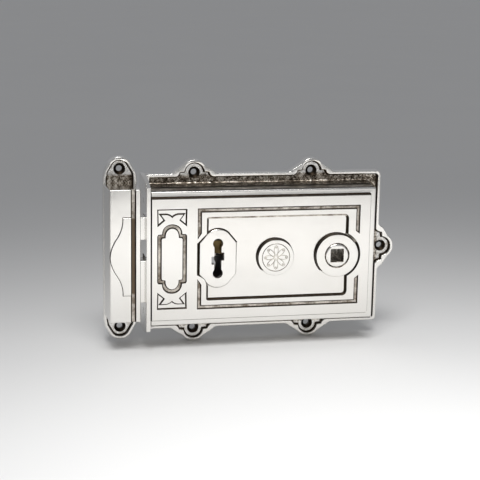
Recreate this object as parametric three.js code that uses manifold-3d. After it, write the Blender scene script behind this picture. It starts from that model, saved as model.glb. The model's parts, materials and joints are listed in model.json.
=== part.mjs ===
// A cast rim lock for a door: a sprung latch worked by a knob spindle, a keyed dead bolt held by
// three levers, and the keep that both bolts enter.
//
// Millimetres. +X runs along the door away from its edge, +Y into the door, +Z up.
// The door's face is the plane Y = 0. The origin is the middle of the lock's back.
// The lock is shown shut and locked: both bolts stand in the keep.
import * as THREE from "three";
import { mergeVertices } from "three/addons/utils/BufferGeometryUtils.js";
import Module from "manifold-3d";

const wasm = await Module();
wasm.setup();

// Driving dimensions
const GAP = 0.3; // kept between separate pieces
const LOCK_W = 151.4; // over the fore-end and the flange
const LOCK_H = 97.4; // over the flange
const LOCK_D = 27; // cover face to door
const LEFT = -LOCK_W / 2;
const RIGHT = LOCK_W / 2;
const FACE = -LOCK_D;

// Case casting
const FORE_END_T = 2.6;
const FORE_END_HALF_H = 48.4;
const LAP = 7; // how far the fore-end laps back over the door's edge
const LAP_SET_BACK = 0.2; // the fore-end is this much thinner where it laps over the door's edge
const CASE_LEFT = LEFT + FORE_END_T + GAP;
const CASE_RIGHT = RIGHT - 8.6;
const CASE_HALF_H = LOCK_H / 2 - 7.3;
const WALL = 3;
const BORDER_W = 3.9; // stepped-down border round the cover's face
const BORDER_DROP = 2.7;
const CAVITY_FRONT = FACE + 4.4;
const FLANGE_T = 6.1;
const GROUND_T = 3.7; // sunk ground inside the flange's raised rim
const RIM_W = 1.8;
const CORNER_R = 2.5;

// Lugs and their screw holes
const TOP_LUGS_X = [-43.3, 30.7];
const LUG_R = 8;
const LUG_OUT = 0.7; // hole centre beyond the flange's edge
const RIGHT_LUG_OUT = 1.9;
const SCREW_HOLE_R = 1.85;
const COUNTERSINK_R = 3.7;

// Cover relief
const PANEL_FLOOR = FACE + 1.8;
const PANEL_LEFT = -38.9;
const PANEL_RIGHT = 49.2;
const PANEL_HALF_H = 25.6;
const GROOVE_DEPTH = 0.8;
const GROOVE_W = 2.2;
const GROOVE_HALF_H = 30;
const GROOVE_LEFT = -43.5;
const GROOVE_RIGHT = 55.4;
const KEY_X = -32.1;
const KEY_END_Z = 9.2; // round ends above and below the middle of the keyhole
const ESCUTCHEON_TOP = FACE + 0.6;
const BOSS_X = 3.6;
const BOSS_TOP = FACE - 1.3;
const CENTRE_BOSS_R = 11.4;
const HUB_BOSS_R = 13.6;
const SPINDLE_X = 42.3;
const SPINDLE_HALF = 4.05; // half of the square
const HUB_R = 7.4;

// Bolts
const BOLT_FRONT = -22;
const BOLT_BACK = -10;
const BOLT_THROW = 12.5;
const BOLT_TIP = LEFT - BOLT_THROW;
const DEAD_LOW = -27.2;
const DEAD_HIGH = -1.2;
const LATCH_LOW = 11.8;
const LATCH_HIGH = 25.6;
const LATCH_TIP = LEFT - 11.5;
const TAIL_FRONT = -14.6;
const TAIL_BACK = -11.2;

// Levers
const LEVER_COUNT = 3;
const LEVER_T = 1.8;
const LEVER_PITCH = 2.2;
const LEVER_PIVOT = [7, 5];
const PIVOT_R = 2.4;
const STUMP = [-20, 5];
const STUMP_R = 2.2;
const LEVER_SPRING_STOP = [-34, 16.6];

// Keep
const KEEP_LEFT = -99.3;
const KEEP_RIGHT = -79.1;
const KEEP_MID_Z = 2.8; // it is fixed a little higher than the lock
const KEEP_HALF_H = 40.65;
const KEEP_TIP = 57.1;
const KEEP_LOBE_R = 7.6;
const KEEP_STRIP = 6.3; // from the keep's right side to its swelling, over the groove
const KEEP_WALL = 3.9;
const KEEP_MOUTH_HALF_H = 34;

const ROUND = 28; // sides of a full circle
const BACK_PLATE_T = 2.5;
const BACK_LIMIT = -BACK_PLATE_T - GAP; // pieces inside the case stop here

const nickel = new THREE.MeshStandardMaterial({ color: 0xe6e2da, roughness: 0.2, metalness: 1 });
const steel = new THREE.MeshStandardMaterial({ color: 0x9a9792, roughness: 0.4, metalness: 1 });
const brass = new THREE.MeshStandardMaterial({ color: 0xb08a4a, roughness: 0.35, metalness: 1 });
const spring = new THREE.MeshStandardMaterial({ color: 0x6f7276, roughness: 0.35, metalness: 1 });

// ---- Solids ----

// A closed three.js geometry as a manifold solid, turned to face outwards.
function solid(geometry) {
  const open = geometry.clone();
  open.deleteAttribute("normal");
  open.deleteAttribute("uv");
  const merged = mergeVertices(open, 1e-4);
  const build = (triVerts) =>
    new wasm.Manifold(
      new wasm.Mesh({ numProp: 3, vertProperties: merged.attributes.position.array, triVerts }),
    );
  const made = build(new Uint32Array(merged.index.array));
  if (made.volume() >= 0) return made;
  return build(new Uint32Array(merged.index.array).reverse());
}

const joined = (first, ...rest) => rest.reduce((sum, next) => sum.add(next), first);
const cut = (first, ...rest) => rest.reduce((left, next) => left.subtract(next), first);

function box([x0, x1], [y0, y1], [z0, z1]) {
  const geometry = new THREE.BoxGeometry(x1 - x0, y1 - y0, z1 - z0);
  return solid(geometry.translate((x0 + x1) / 2, (y0 + y1) / 2, (z0 + z1) / 2));
}

// An outline in X and Z, given as points, extruded from y0 to y1.
function plate(points, [y0, y1]) {
  const geometry = new THREE.ExtrudeGeometry(new THREE.Shape(points), {
    depth: y1 - y0,
    bevelEnabled: false,
  });
  return solid(geometry.rotateX(Math.PI / 2).translate(0, y1, 0));
}

// An outline in Y and Z extruded from x0 to x1.
function sidePlate(points, [x0, x1]) {
  const geometry = new THREE.ExtrudeGeometry(new THREE.Shape(points), {
    depth: x1 - x0,
    bevelEnabled: false,
  });
  const toSide = new THREE.Matrix4().makeBasis(
    new THREE.Vector3(0, 1, 0),
    new THREE.Vector3(0, 0, 1),
    new THREE.Vector3(1, 0, 0),
  );
  return solid(geometry.applyMatrix4(toSide).translate(x0, 0, 0));
}

// An outline in X and Y extruded from z0 to z1.
function upright(points, [z0, z1]) {
  const geometry = new THREE.ExtrudeGeometry(new THREE.Shape(points), {
    depth: z1 - z0,
    bevelEnabled: false,
  });
  return solid(geometry.translate(0, 0, z0));
}

// A round bar along Y.
function bar([x, z], radius, [y0, y1], sides = ROUND) {
  const geometry = new THREE.CylinderGeometry(radius, radius, y1 - y0, sides);
  return solid(geometry.translate(x, (y0 + y1) / 2, z));
}

// A round bar along X.
function crossBar([y, z], radius, [x0, x1]) {
  const geometry = new THREE.CylinderGeometry(radius, radius, x1 - x0, ROUND);
  return solid(geometry.rotateZ(Math.PI / 2).translate((x0 + x1) / 2, y, z));
}

// A turned shape about a line along Y; the profile is [radius, y] points that start and end at radius 0.
function turned([x, z], profile) {
  const points = profile.map(([radius, y]) => new THREE.Vector2(radius, y));
  return solid(new THREE.LatheGeometry(points, ROUND).translate(x, 0, z));
}

const at = (x, z) => new THREE.Vector2(x, z);

function rectangle([x0, x1], [z0, z1]) {
  return [at(x0, z0), at(x1, z0), at(x1, z1), at(x0, z1)];
}

function arc([x, z], radius, from, to, steps) {
  return Array.from({ length: steps + 1 }, (_, i) => {
    const angle = from + ((to - from) * i) / steps;
    return at(x + radius * Math.cos(angle), z + radius * Math.sin(angle));
  });
}

// Points of a quadratic curve after its start.
function bend(start, control, end, steps) {
  return new THREE.QuadraticBezierCurve(start, control, end).getPoints(steps).slice(1);
}

// ---- Flange outline with its lugs ----

const degrees = (angle) => (angle * Math.PI) / 180;

// One lug's outer edge from its left foot to its right foot: an easy rise, then a round lobe.
// x runs along the flange's edge and y outwards.
function lugOutside(out) {
  const foot = at(-15.2, 0);
  const shoulder = at(-12.2, out + 1);
  const lobe = arc([0, out], LUG_R, degrees(146), degrees(34), 10);
  const left = [foot, ...bend(foot, at(-13.4, 0.2), shoulder, 3)];
  return [...left, ...lobe, ...left.map((p) => at(-p.x, p.y)).reverse()];
}

// The raised rim's inner edge in a lug: an arch on two small shoulders.
function lugInside(out) {
  const foot = at(-11.6, -RIM_W);
  const shoulder = at(-9, out + 0.4);
  const lobe = arc([0, out], LUG_R - RIM_W, degrees(174), degrees(6), 10);
  const rise = bend(foot, at(-9.6, -RIM_W + 0.4), shoulder, 3);
  const left = [foot, ...rise, at(-7, out + 0.6)];
  return [...left, ...lobe, ...left.map((p) => at(-p.x, p.y)).reverse()];
}

// The whole outline, clockwise from the top left corner.
function flangeOutline(lug, inset) {
  const top = LOCK_H / 2;
  const upper = TOP_LUGS_X.flatMap((x) => lug(LUG_OUT).map((p) => at(x + p.x, top + p.y)));
  const side = lug(RIGHT_LUG_OUT).map((p) => at(RIGHT + p.y, -p.x));
  const radius = CORNER_R - inset / 2;
  const corner = arc(
    [RIGHT - inset - radius, top - inset - radius],
    radius,
    Math.PI / 2,
    0,
    4,
  );
  const half = [at(CASE_LEFT + inset, top - inset), ...upper, ...corner];
  const mirrored = half.map((p) => at(p.x, -p.y)).reverse();
  return [...half, ...side, ...mirrored];
}

const lugHoles = [
  ...TOP_LUGS_X.map((x) => [x, LOCK_H / 2 + LUG_OUT]),
  ...TOP_LUGS_X.map((x) => [x, -LOCK_H / 2 - LUG_OUT]),
  [RIGHT + RIGHT_LUG_OUT, 0],
];

// A countersunk screw hole through a lug, as the solid to cut away.
function countersunkHole(centre) {
  const mouth = -GROUND_T;
  return turned(centre, [
    [0, 1],
    [SCREW_HOLE_R, 1],
    [SCREW_HOLE_R, mouth + COUNTERSINK_R - SCREW_HOLE_R],
    [COUNTERSINK_R, mouth],
    [COUNTERSINK_R, -FLANGE_T],
    [0, -FLANGE_T],
  ]);
}

// ---- Cover relief ----

// The sunk panel steps out to the left round the keyhole and bulges right round the hub.
function panelOutline() {
  const hub = arc([SPINDLE_X, 0], 14.9, 1.1, -1.1, 10);
  const right = [at(PANEL_RIGHT, PANEL_HALF_H), ...hub, at(PANEL_RIGHT, -PANEL_HALF_H)];
  const left = [
    at(PANEL_LEFT, -PANEL_HALF_H),
    at(PANEL_LEFT, -15.5),
    at(-44.7, -9.8),
    at(-44.7, 9.8),
    at(PANEL_LEFT, 15.5),
    at(PANEL_LEFT, PANEL_HALF_H),
  ];
  return [...right, ...left];
}

// The raised plate round the keyhole: an arch on shoulders, the same above and below.
function escutcheonOutline() {
  const crown = arc([KEY_X, 8.8], 9.2, (3 * Math.PI) / 4, Math.PI / 4, 8);
  const upper = [at(KEY_X - 11.2, 9.6), ...crown, at(KEY_X + 11.2, 9.6)];
  const lower = upper.map((p) => at(p.x, -p.y)).reverse();
  return [...upper, ...lower];
}

// A keyhole with a round end above and below, and two notches at its middle.
function keyhole(grow, depth) {
  const slot = 2.1 + grow;
  const notch = 2.35 + grow;
  return joined(
    bar([KEY_X, KEY_END_Z], 3 + grow, depth),
    bar([KEY_X, -KEY_END_Z], 3 + grow, depth),
    box([KEY_X - slot, KEY_X + slot], depth, [-KEY_END_Z, KEY_END_Z]),
    box([KEY_X, KEY_X + 3.8 + grow], depth, [1.2 - notch, 1.2 + notch]),
    box([KEY_X - 3.8 - grow, KEY_X], depth, [-1.2 - notch, -1.2 + notch]),
  );
}

// A groove above and below the panel, turned in at each end and cut off on the slant.
function coverGrooves() {
  const half = GROOVE_W / 2;
  const [left, right, high] = [GROOVE_LEFT, GROOVE_RIGHT, GROOVE_HALF_H];
  const upper = [
    at(left - half, 12.6),
    at(left + half, 16),
    at(left + half, high - half),
    at(right - half, high - half),
    at(right - half, 15.2),
    at(right + half, 13.4),
    at(right + half, high + half),
    at(left - half, high + half),
  ];
  const lower = upper.map((p) => at(p.x, -p.y)).reverse();
  const depth = [FACE - 1, FACE + GROOVE_DEPTH];
  return joined(plate(upper, depth), plate(lower, depth));
}

// Corner blocks inside the case: they take the cover plate's screws and the fore-end's rivets.
const BLOCK_LOW = 30.4;
const SCREWS_X = [-60, 60];
const SCREW_Z = 34.4;
const RIVET_Y = -12;
const RIVET_END = -65;
const SHANK_R = 1.5; // of the cover's screws, the rivets and the stump
const SCREW_HEAD_R = 2.9;

function cornerBlocks() {
  const inner = CASE_HALF_H - WALL;
  const spans = [
    [CASE_LEFT + 0.5, -53.2],
    [54.6, CASE_RIGHT - WALL + 1],
  ];
  return spans.flatMap((x) =>
    [1, -1].map((side) => {
      const z = [side * BLOCK_LOW, side * (inner + 1)].sort((a, b) => a - b);
      return box(x, [CAVITY_FRONT - 1, BACK_LIMIT], z);
    }),
  );
}

function caseCasting() {
  const inner = CASE_HALF_H - WALL;
  const flange = cut(
    plate(flangeOutline(lugOutside, 0), [-FLANGE_T, 0]),
    plate(flangeOutline(lugInside, RIM_W), [-FLANGE_T - 1, -GROUND_T]),
  );
  const face = CASE_HALF_H - BORDER_W;
  const border = FACE + BORDER_DROP;
  const upper = [at(0, CASE_HALF_H), at(border, CASE_HALF_H), at(border, face), at(FACE, face)];
  const section = [...upper, ...upper.map((p) => at(p.x, -p.y)).reverse()];
  const block = cut(
    sidePlate(section, [CASE_LEFT, CASE_RIGHT]),
    box([CASE_RIGHT - BORDER_W, CASE_RIGHT + 1], [FACE - 1, border], [-face - 1, face + 1]),
  );
  const cavity = box([CASE_LEFT - 1, CASE_RIGHT - WALL], [CAVITY_FRONT, 1], [-inner, inner]);
  const shell = joined(
    cut(
      joined(flange, block),
      cavity,
      plate(panelOutline(), [FACE - 1, PANEL_FLOOR]),
      coverGrooves(),
      ...lugHoles.map(countersunkHole),
    ),
    ...cornerBlocks(),
  );
  const floor = PANEL_FLOOR + 1;
  const bosses = [
    bar([BOSS_X, 0], CENTRE_BOSS_R, [BOSS_TOP, floor]),
    bar([SPINDLE_X, 0], HUB_BOSS_R, [BOSS_TOP, floor]),
  ];
  const escutcheon = plate(escutcheonOutline(), [ESCUTCHEON_TOP, floor]);
  const screwHoles = SCREWS_X.flatMap((x) =>
    [SCREW_Z, -SCREW_Z].map((z) => bar([x, z], SHANK_R + GAP, [-14, 1])),
  );
  const rivetHoles = [SCREW_Z, -SCREW_Z].map((z) =>
    crossBar([RIVET_Y, z], SHANK_R + GAP, [CASE_LEFT - 1, RIVET_END]),
  );
  return cut(
    joined(shell, ...bosses, escutcheon),
    keyhole(0, [FACE - 2, CAVITY_FRONT + 1]),
    bar([SPINDLE_X, 0], HUB_R + GAP, [FACE - 3, CAVITY_FRONT + 1]),
    ...screwHoles,
    ...rivetHoles,
  );
}

// ---- Fore-end and back plate ----

// The fore-end laps back over the door's edge, so it is deeper than the case.
function foreEndOutline() {
  const front = at(FACE, FORE_END_HALF_H - 4.2);
  const bendStart = at(LAP - 3.5, FORE_END_HALF_H);
  const upper = [
    front,
    ...bend(front, at(-17, FORE_END_HALF_H - 0.2), at(-4, FORE_END_HALF_H), 5),
    bendStart,
    ...bend(bendStart, at(LAP, FORE_END_HALF_H), at(LAP, FORE_END_HALF_H - 3.4), 4),
  ];
  const lower = upper.map((p) => at(p.x, -p.y)).reverse();
  return [...upper, ...lower];
}

function foreEnd() {
  const across = [LEFT, LEFT + FORE_END_T];
  const through = [LEFT - 1, LEFT + FORE_END_T + 1];
  const depth = [BOLT_FRONT - GAP, BOLT_BACK + GAP];
  return cut(
    sidePlate(foreEndOutline(), across),
    box([LEFT + FORE_END_T - LAP_SET_BACK, LEFT + FORE_END_T + 1], [0, LAP + 1], [-50, 50]),
    box(through, depth, [LATCH_LOW - GAP, LATCH_HIGH + GAP]),
    box(through, depth, [DEAD_LOW - GAP, 1.2]),
    ...[SCREW_Z, -SCREW_Z].map((z) => crossBar([RIVET_Y, z], SHANK_R + GAP, through)),
  );
}

function rivet(z) {
  return crossBar([RIVET_Y, z], SHANK_R, [LEFT, RIVET_END - GAP]);
}

function backPlate() {
  const edge = CASE_HALF_H - WALL - GAP;
  const through = [-BACK_PLATE_T - 1, 1];
  const sinks = SCREWS_X.flatMap((x) =>
    [SCREW_Z, -SCREW_Z].map((z) =>
      turned(
        [x, z],
        [
          [0, -BACK_PLATE_T - 1],
          [SHANK_R + GAP, -BACK_PLATE_T - 1],
          [SHANK_R + GAP, -1.7],
          [SCREW_HEAD_R + GAP, -0.3],
          [SCREW_HEAD_R + GAP, 1],
          [0, 1],
        ],
      ),
    ),
  );
  return cut(
    box([CASE_LEFT + GAP, CASE_RIGHT - WALL - GAP], [-BACK_PLATE_T, 0], [-edge, edge]),
    bar([SPINDLE_X, 0], HUB_R + GAP, through),
    keyhole(0.3, through),
    ...sinks,
  );
}

// A slotted countersunk screw that holds the back plate.
function plateScrew(x, z) {
  const body = turned(
    [x, z],
    [
      [0, -13.5],
      [SHANK_R, -13.5],
      [SHANK_R, -1.5],
      [SCREW_HEAD_R, -0.2],
      [0, -0.2],
    ],
  );
  return cut(body, box([x - 4, x + 4], [-0.8, 1], [z - 0.35, z + 0.35]));
}

// ---- Latch and its follower ----

const HOOK_LEFT = SPINDLE_X + 3.3;
const YOKE_LEFT = 12;
const YOKE_RIGHT = 17.3;
const ARM_LOW = 16.5;
const ARM_HIGH = 21;
const LATCH_HEAD_END = -62;

// The head is bevelled on its door side. Its tail ends in a yoke with two hooks that either horn
// of the follower can draw back.
function latchBolt() {
  const head = plate(rectangle([LATCH_TIP, LATCH_HEAD_END], [LATCH_LOW, LATCH_HIGH]), [
    BOLT_FRONT,
    BOLT_BACK,
  ]);
  const bevel = upright(
    [
      at(LATCH_TIP - 1, BOLT_FRONT + 3),
      at(LATCH_TIP + 10, BOLT_BACK + 1),
      at(LATCH_TIP - 1, BOLT_BACK + 1),
    ],
    [LATCH_LOW - 1, LATCH_HIGH + 1],
  );
  const layer = [TAIL_FRONT, TAIL_BACK];
  const hooks = [1, -1].map((side) => {
    const z = [side * 10, side * ARM_HIGH].sort((a, b) => a - b);
    return box([HOOK_LEFT, HOOK_LEFT + 4.5], layer, z);
  });
  const arms = [1, -1].map((side) => {
    const z = [side * ARM_LOW, side * ARM_HIGH].sort((a, b) => a - b);
    return box([YOKE_LEFT, HOOK_LEFT + 4.5], layer, z);
  });
  return joined(
    cut(head, bevel),
    box([LATCH_HEAD_END - 2, YOKE_RIGHT], layer, [13, ARM_HIGH]),
    box([YOKE_LEFT, YOKE_RIGHT], layer, [-ARM_HIGH, ARM_HIGH]),
    ...arms,
    ...hooks,
  );
}

// The knob spindle's follower: a turned hub with a square hole and two horns.
function follower() {
  const hub = turned(
    [SPINDLE_X, 0],
    [
      [0, FACE - 1.4],
      [HUB_R - 0.6, FACE - 1.4],
      [HUB_R, FACE - 0.8],
      [HUB_R, CAVITY_FRONT],
      [HUB_R, CAVITY_FRONT + GAP],
      [9, CAVITY_FRONT + GAP],
      [9, BACK_LIMIT - GAP],
      [HUB_R, BACK_LIMIT - GAP],
      [HUB_R, -GAP],
      [0, -GAP],
    ],
  );
  const horns = [1, -1].map((side) => {
    const z = [side * 4, side * 15].sort((a, b) => a - b);
    return box([SPINDLE_X - 2.5, SPINDLE_X + 2.5], [TAIL_FRONT + 0.2, TAIL_BACK - 0.2], z);
  });
  const square = [SPINDLE_X - SPINDLE_HALF, SPINDLE_X + SPINDLE_HALF];
  return cut(
    joined(hub, ...horns),
    box(square, [FACE - 5, 5], [-SPINDLE_HALF, SPINDLE_HALF]),
  );
}

const SPRING_Z = 22.4;
const SPRING_Y = -18.5;
const SPRING_R = 2.5;
const SPRING_STOP_X = -37.2;

class Helix extends THREE.Curve {
  constructor(start, end, turns) {
    super();
    Object.assign(this, { start, end, turns });
  }
  getPoint(t, target = new THREE.Vector3()) {
    const angle = 2 * Math.PI * this.turns * t;
    const x = this.start + (this.end - this.start) * t;
    return target.set(
      x,
      SPRING_Y + SPRING_R * Math.cos(angle),
      SPRING_Z + SPRING_R * Math.sin(angle),
    );
  }
}

function latchSpring() {
  const turns = 7;
  const path = new Helix(LATCH_HEAD_END + 1, SPRING_STOP_X - 1, turns);
  const wire = new THREE.Shape(arc([0, 0], 0.5, 0, (5 * Math.PI) / 3, 5));
  return solid(
    new THREE.ExtrudeGeometry(wire, { steps: turns * 10, extrudePath: path, bevelEnabled: false }),
  );
}

function latchSpringStop() {
  const x = [SPRING_STOP_X, SPRING_STOP_X + 4];
  return box(x, [CAVITY_FRONT + GAP, SPRING_Y + 3], [SPRING_Z - 3.2, SPRING_Z + 3.6]);
}

// ---- Dead bolt and levers ----

const TAIL_LOW = -1;
const TAIL_HIGH = 9;
const TAIL_END = -10;
const GUIDE = [-52, 4.5];

// The tail carries the talon notch for the key, a slot for the guide post and the stump's hole.
function deadBolt() {
  const layer = [TAIL_FRONT, TAIL_BACK];
  const through = [TAIL_FRONT - 1, TAIL_BACK + 1];
  const slotEnd = GUIDE[0] - BOLT_THROW;
  const slotR = 2 + GAP;
  const body = joined(
    box([BOLT_TIP, -58], [BOLT_FRONT, BOLT_BACK], [DEAD_LOW, DEAD_HIGH]),
    box([-69, TAIL_END], layer, [TAIL_LOW, TAIL_HIGH]),
    box([-69, -55], layer, [-20, TAIL_HIGH]),
  );
  return cut(
    body,
    box([-42.4, -34.4], through, [TAIL_LOW - 1, 3.8]),
    box([slotEnd, GUIDE[0]], through, [GUIDE[1] - slotR, GUIDE[1] + slotR]),
    bar(GUIDE, slotR, through),
    bar([slotEnd, GUIDE[1]], slotR, through),
    bar(STUMP, SHANK_R + GAP, through),
  );
}

// The stump is riveted through the tail and stands forward through the levers' gates.
function boltStump() {
  return joined(
    bar(STUMP, STUMP_R, [CAVITY_FRONT + GAP, TAIL_FRONT - GAP]),
    bar(STUMP, SHANK_R, [TAIL_FRONT - GAP - 0.1, TAIL_BACK]),
  );
}

const leverLayer = (index) => {
  const front = BOLT_FRONT + index * LEVER_PITCH;
  return [front, front + LEVER_T];
};

// One lever: pivot eye, gate window for the stump, and a belly that the key lifts.
function lever(index) {
  const [px, pz] = LEVER_PIVOT;
  const bellyDip = 0.5 * index; // each lever's belly is cut to its own height
  const outline = [
    ...arc([px, pz], 6, -Math.PI / 2, Math.PI / 2, 8),
    at(-12, 10.6),
    at(-40, 10),
    ...bend(at(-40, 10), at(-49, 10), at(-49, 5), 4),
    at(-47, 2),
    ...bend(at(-47, 2), at(KEY_X, 3.6 - bellyDip), at(-25, 1), 5),
    at(-24, -3.6),
    at(-2, -3.6),
  ];
  const layer = leverLayer(index);
  const through = [layer[0] - 0.1, layer[1] + 0.1];
  const reach = STUMP_R + 0.5;
  const gate = cut(
    box([STUMP[0] - reach, STUMP[0] + BOLT_THROW + reach], through, [-1.6, STUMP[1] + reach]),
    box([-15.5, -12], [layer[0] - 1, layer[1] + 1], [-2, 0.1]),
  );
  return cut(plate(outline, layer), gate, bar([px, pz], PIVOT_R + GAP, through));
}

// A bent strip that rises from over the pivot eye and bears up on its stop.
function leverSpring(index) {
  const [stopX, stopZ] = LEVER_SPRING_STOP;
  const tip = stopZ - 1.8 - 0.4;
  const top = [
    at(2, 11.9),
    at(-8, 12.2),
    ...bend(at(-8, 12.2), at(-22, 12.4), at(stopX + 2, tip), 6),
    at(stopX - 4, tip),
  ];
  const bottom = top.map((p) => at(p.x, p.y - 0.5)).reverse();
  return plate([...top, ...bottom], leverLayer(index));
}

function leverPivot() {
  return bar(LEVER_PIVOT, PIVOT_R, [CAVITY_FRONT + GAP, BACK_LIMIT - GAP]);
}

function leverCollar() {
  const span = [BOLT_FRONT + LEVER_COUNT * LEVER_PITCH, BACK_LIMIT - GAP];
  return cut(
    bar(LEVER_PIVOT, 3.9, span),
    bar(LEVER_PIVOT, PIVOT_R + GAP, [span[0] - 1, span[1] + 1]),
  );
}

function leverSpringStop() {
  return bar(LEVER_SPRING_STOP, 1.8, [CAVITY_FRONT + GAP, -15.5]);
}

function boltGuidePost() {
  return bar(GUIDE, 2, [TAIL_FRONT - 0.4, BACK_LIMIT - GAP]);
}

// ---- Keep ----

// An upright plate with a round lobe at each end, drawn inset from its full size.
function keepOutline(inset) {
  const middle = (KEEP_LEFT + KEEP_RIGHT) / 2;
  const half = (KEEP_RIGHT - KEEP_LEFT) / 2 - inset;
  const lobeR = KEEP_LOBE_R - inset;
  const lobeZ = KEEP_TIP - KEEP_LOBE_R;
  const lobe = arc([middle, KEEP_MID_Z + lobeZ], lobeR, Math.PI / 6, (5 * Math.PI) / 6, 10);
  const foot = at(middle + half, KEEP_MID_Z + 44);
  const shoulder = at(middle + half - 0.7, KEEP_MID_Z + lobeZ - 1.5);
  const upper = [
    foot,
    ...bend(foot, at(foot.x, KEEP_MID_Z + lobeZ - 2.5), shoulder, 2),
    ...lobe,
    at(2 * middle - shoulder.x, shoulder.y),
    at(middle - half, foot.y),
  ];
  const lower = upper.map((p) => at(p.x, 2 * KEEP_MID_Z - p.y)).reverse();
  return [...upper, ...lower];
}

// The swelling on the keep's face that the latch rides under.
function keepSwelling() {
  const edge = KEEP_RIGHT - KEEP_STRIP;
  const upper = [
    at(edge, 23.8),
    at(edge - 4.3, 23.8),
    ...bend(at(edge - 4.3, 23.8), at(edge - 4.1, 17), at(edge - 7.8, 11.5), 5),
    ...bend(at(edge - 7.8, 11.5), at(edge - 11.9, 5.5), at(edge - 11.9, 0), 5),
  ];
  const lower = upper
    .slice(0, -1)
    .map((p) => at(p.x, -p.y))
    .reverse();
  return [...upper, ...lower].map((p) => at(p.x, p.y + KEEP_MID_Z));
}

function keepBox() {
  const [low, high] = [KEEP_MID_Z - KEEP_HALF_H, KEEP_MID_Z + KEEP_HALF_H];
  const mouth = [KEEP_MID_Z - KEEP_MOUTH_HALF_H, KEEP_MID_Z + KEEP_MOUTH_HALF_H];
  const foot = cut(
    plate(keepOutline(0), [-FLANGE_T, 0]),
    plate(keepOutline(RIM_W), [-FLANGE_T - 1, -GROUND_T]),
  );
  // The left wall leans in towards the face.
  const section = [
    at(KEEP_LEFT, 0),
    at(KEEP_LEFT + 1.4, FACE),
    at(KEEP_RIGHT, FACE),
    at(KEEP_RIGHT, 0),
  ];
  const holeX = (KEEP_LEFT + KEEP_RIGHT) / 2;
  const holeOut = KEEP_TIP - KEEP_LOBE_R;
  const holes = [
    [holeX, KEEP_MID_Z + holeOut],
    [holeX, KEEP_MID_Z - holeOut],
  ];
  const groove = [KEEP_RIGHT - 5.7, KEEP_RIGHT - 3];
  return cut(
    joined(
      foot,
      upright(section, [low, high]),
      plate(keepSwelling(), [FACE - 0.8, FACE + 1]),
    ),
    box([KEEP_LEFT + KEEP_WALL, KEEP_RIGHT + 1], [FACE + 3.6, 1], mouth),
    box(groove, [FACE - 1, FACE + 1.2], [low - 1, high + 1]),
    ...holes.map(countersunkHole),
  );
}

// ---- Assembly ----

const lock = new THREE.Group();

function add(name, material, made) {
  const { vertProperties, triVerts } = made.getMesh();
  const geometry = new THREE.BufferGeometry();
  geometry.setAttribute("position", new THREE.BufferAttribute(vertProperties, 3));
  geometry.setIndex(new THREE.BufferAttribute(triVerts, 1));
  geometry.computeVertexNormals();
  const mesh = new THREE.Mesh(geometry, material);
  mesh.name = name;
  lock.add(mesh);
}

add("case", nickel, caseCasting());
add("fore_end", nickel, foreEnd());
add("fore_end_rivet_top", nickel, rivet(SCREW_Z));
add("fore_end_rivet_bottom", nickel, rivet(-SCREW_Z));
add("back_plate", steel, backPlate());
const corners = ["left", "right"].flatMap((side, i) =>
  ["top", "bottom"].map((end, j) => [`${side}_${end}`, SCREWS_X[i], j ? -SCREW_Z : SCREW_Z]),
);
for (const [corner, x, z] of corners) {
  add(`plate_screw_${corner}`, steel, plateScrew(x, z));
}
add("latch_spring_stop", steel, latchSpringStop());
add("lever_pivot", steel, leverPivot());
add("lever_collar", steel, leverCollar());
add("lever_spring_stop", steel, leverSpringStop());
add("bolt_guide_post", steel, boltGuidePost());

add("follower", nickel, follower());
add("latch_bolt", nickel, latchBolt());
add("latch_spring", spring, latchSpring());
add("dead_bolt", nickel, deadBolt());
add("bolt_stump", steel, boltStump());
for (let i = 0; i < LEVER_COUNT; i += 1) {
  add(`lever_${i + 1}`, brass, lever(i));
  add(`lever_spring_${i + 1}`, spring, leverSpring(i));
}
add("keep", nickel, keepBox());

export default lock;
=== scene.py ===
"""A cast and polished rim lock with its keep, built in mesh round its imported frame.

It is laid out as an add-on: property groups hold the sizes and colours, each operator makes one
piece or one group of like pieces, and main() runs them in order. Lengths are millimetres until a
mesh is made. Height means distance above the door's face, towards the room.
"""

import json
import math

import bmesh
import bpy
from bpy.props import FloatProperty, FloatVectorProperty, IntProperty, PointerProperty
from mathutils import Matrix, Vector
from mathutils.geometry import tessellate_polygon


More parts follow.
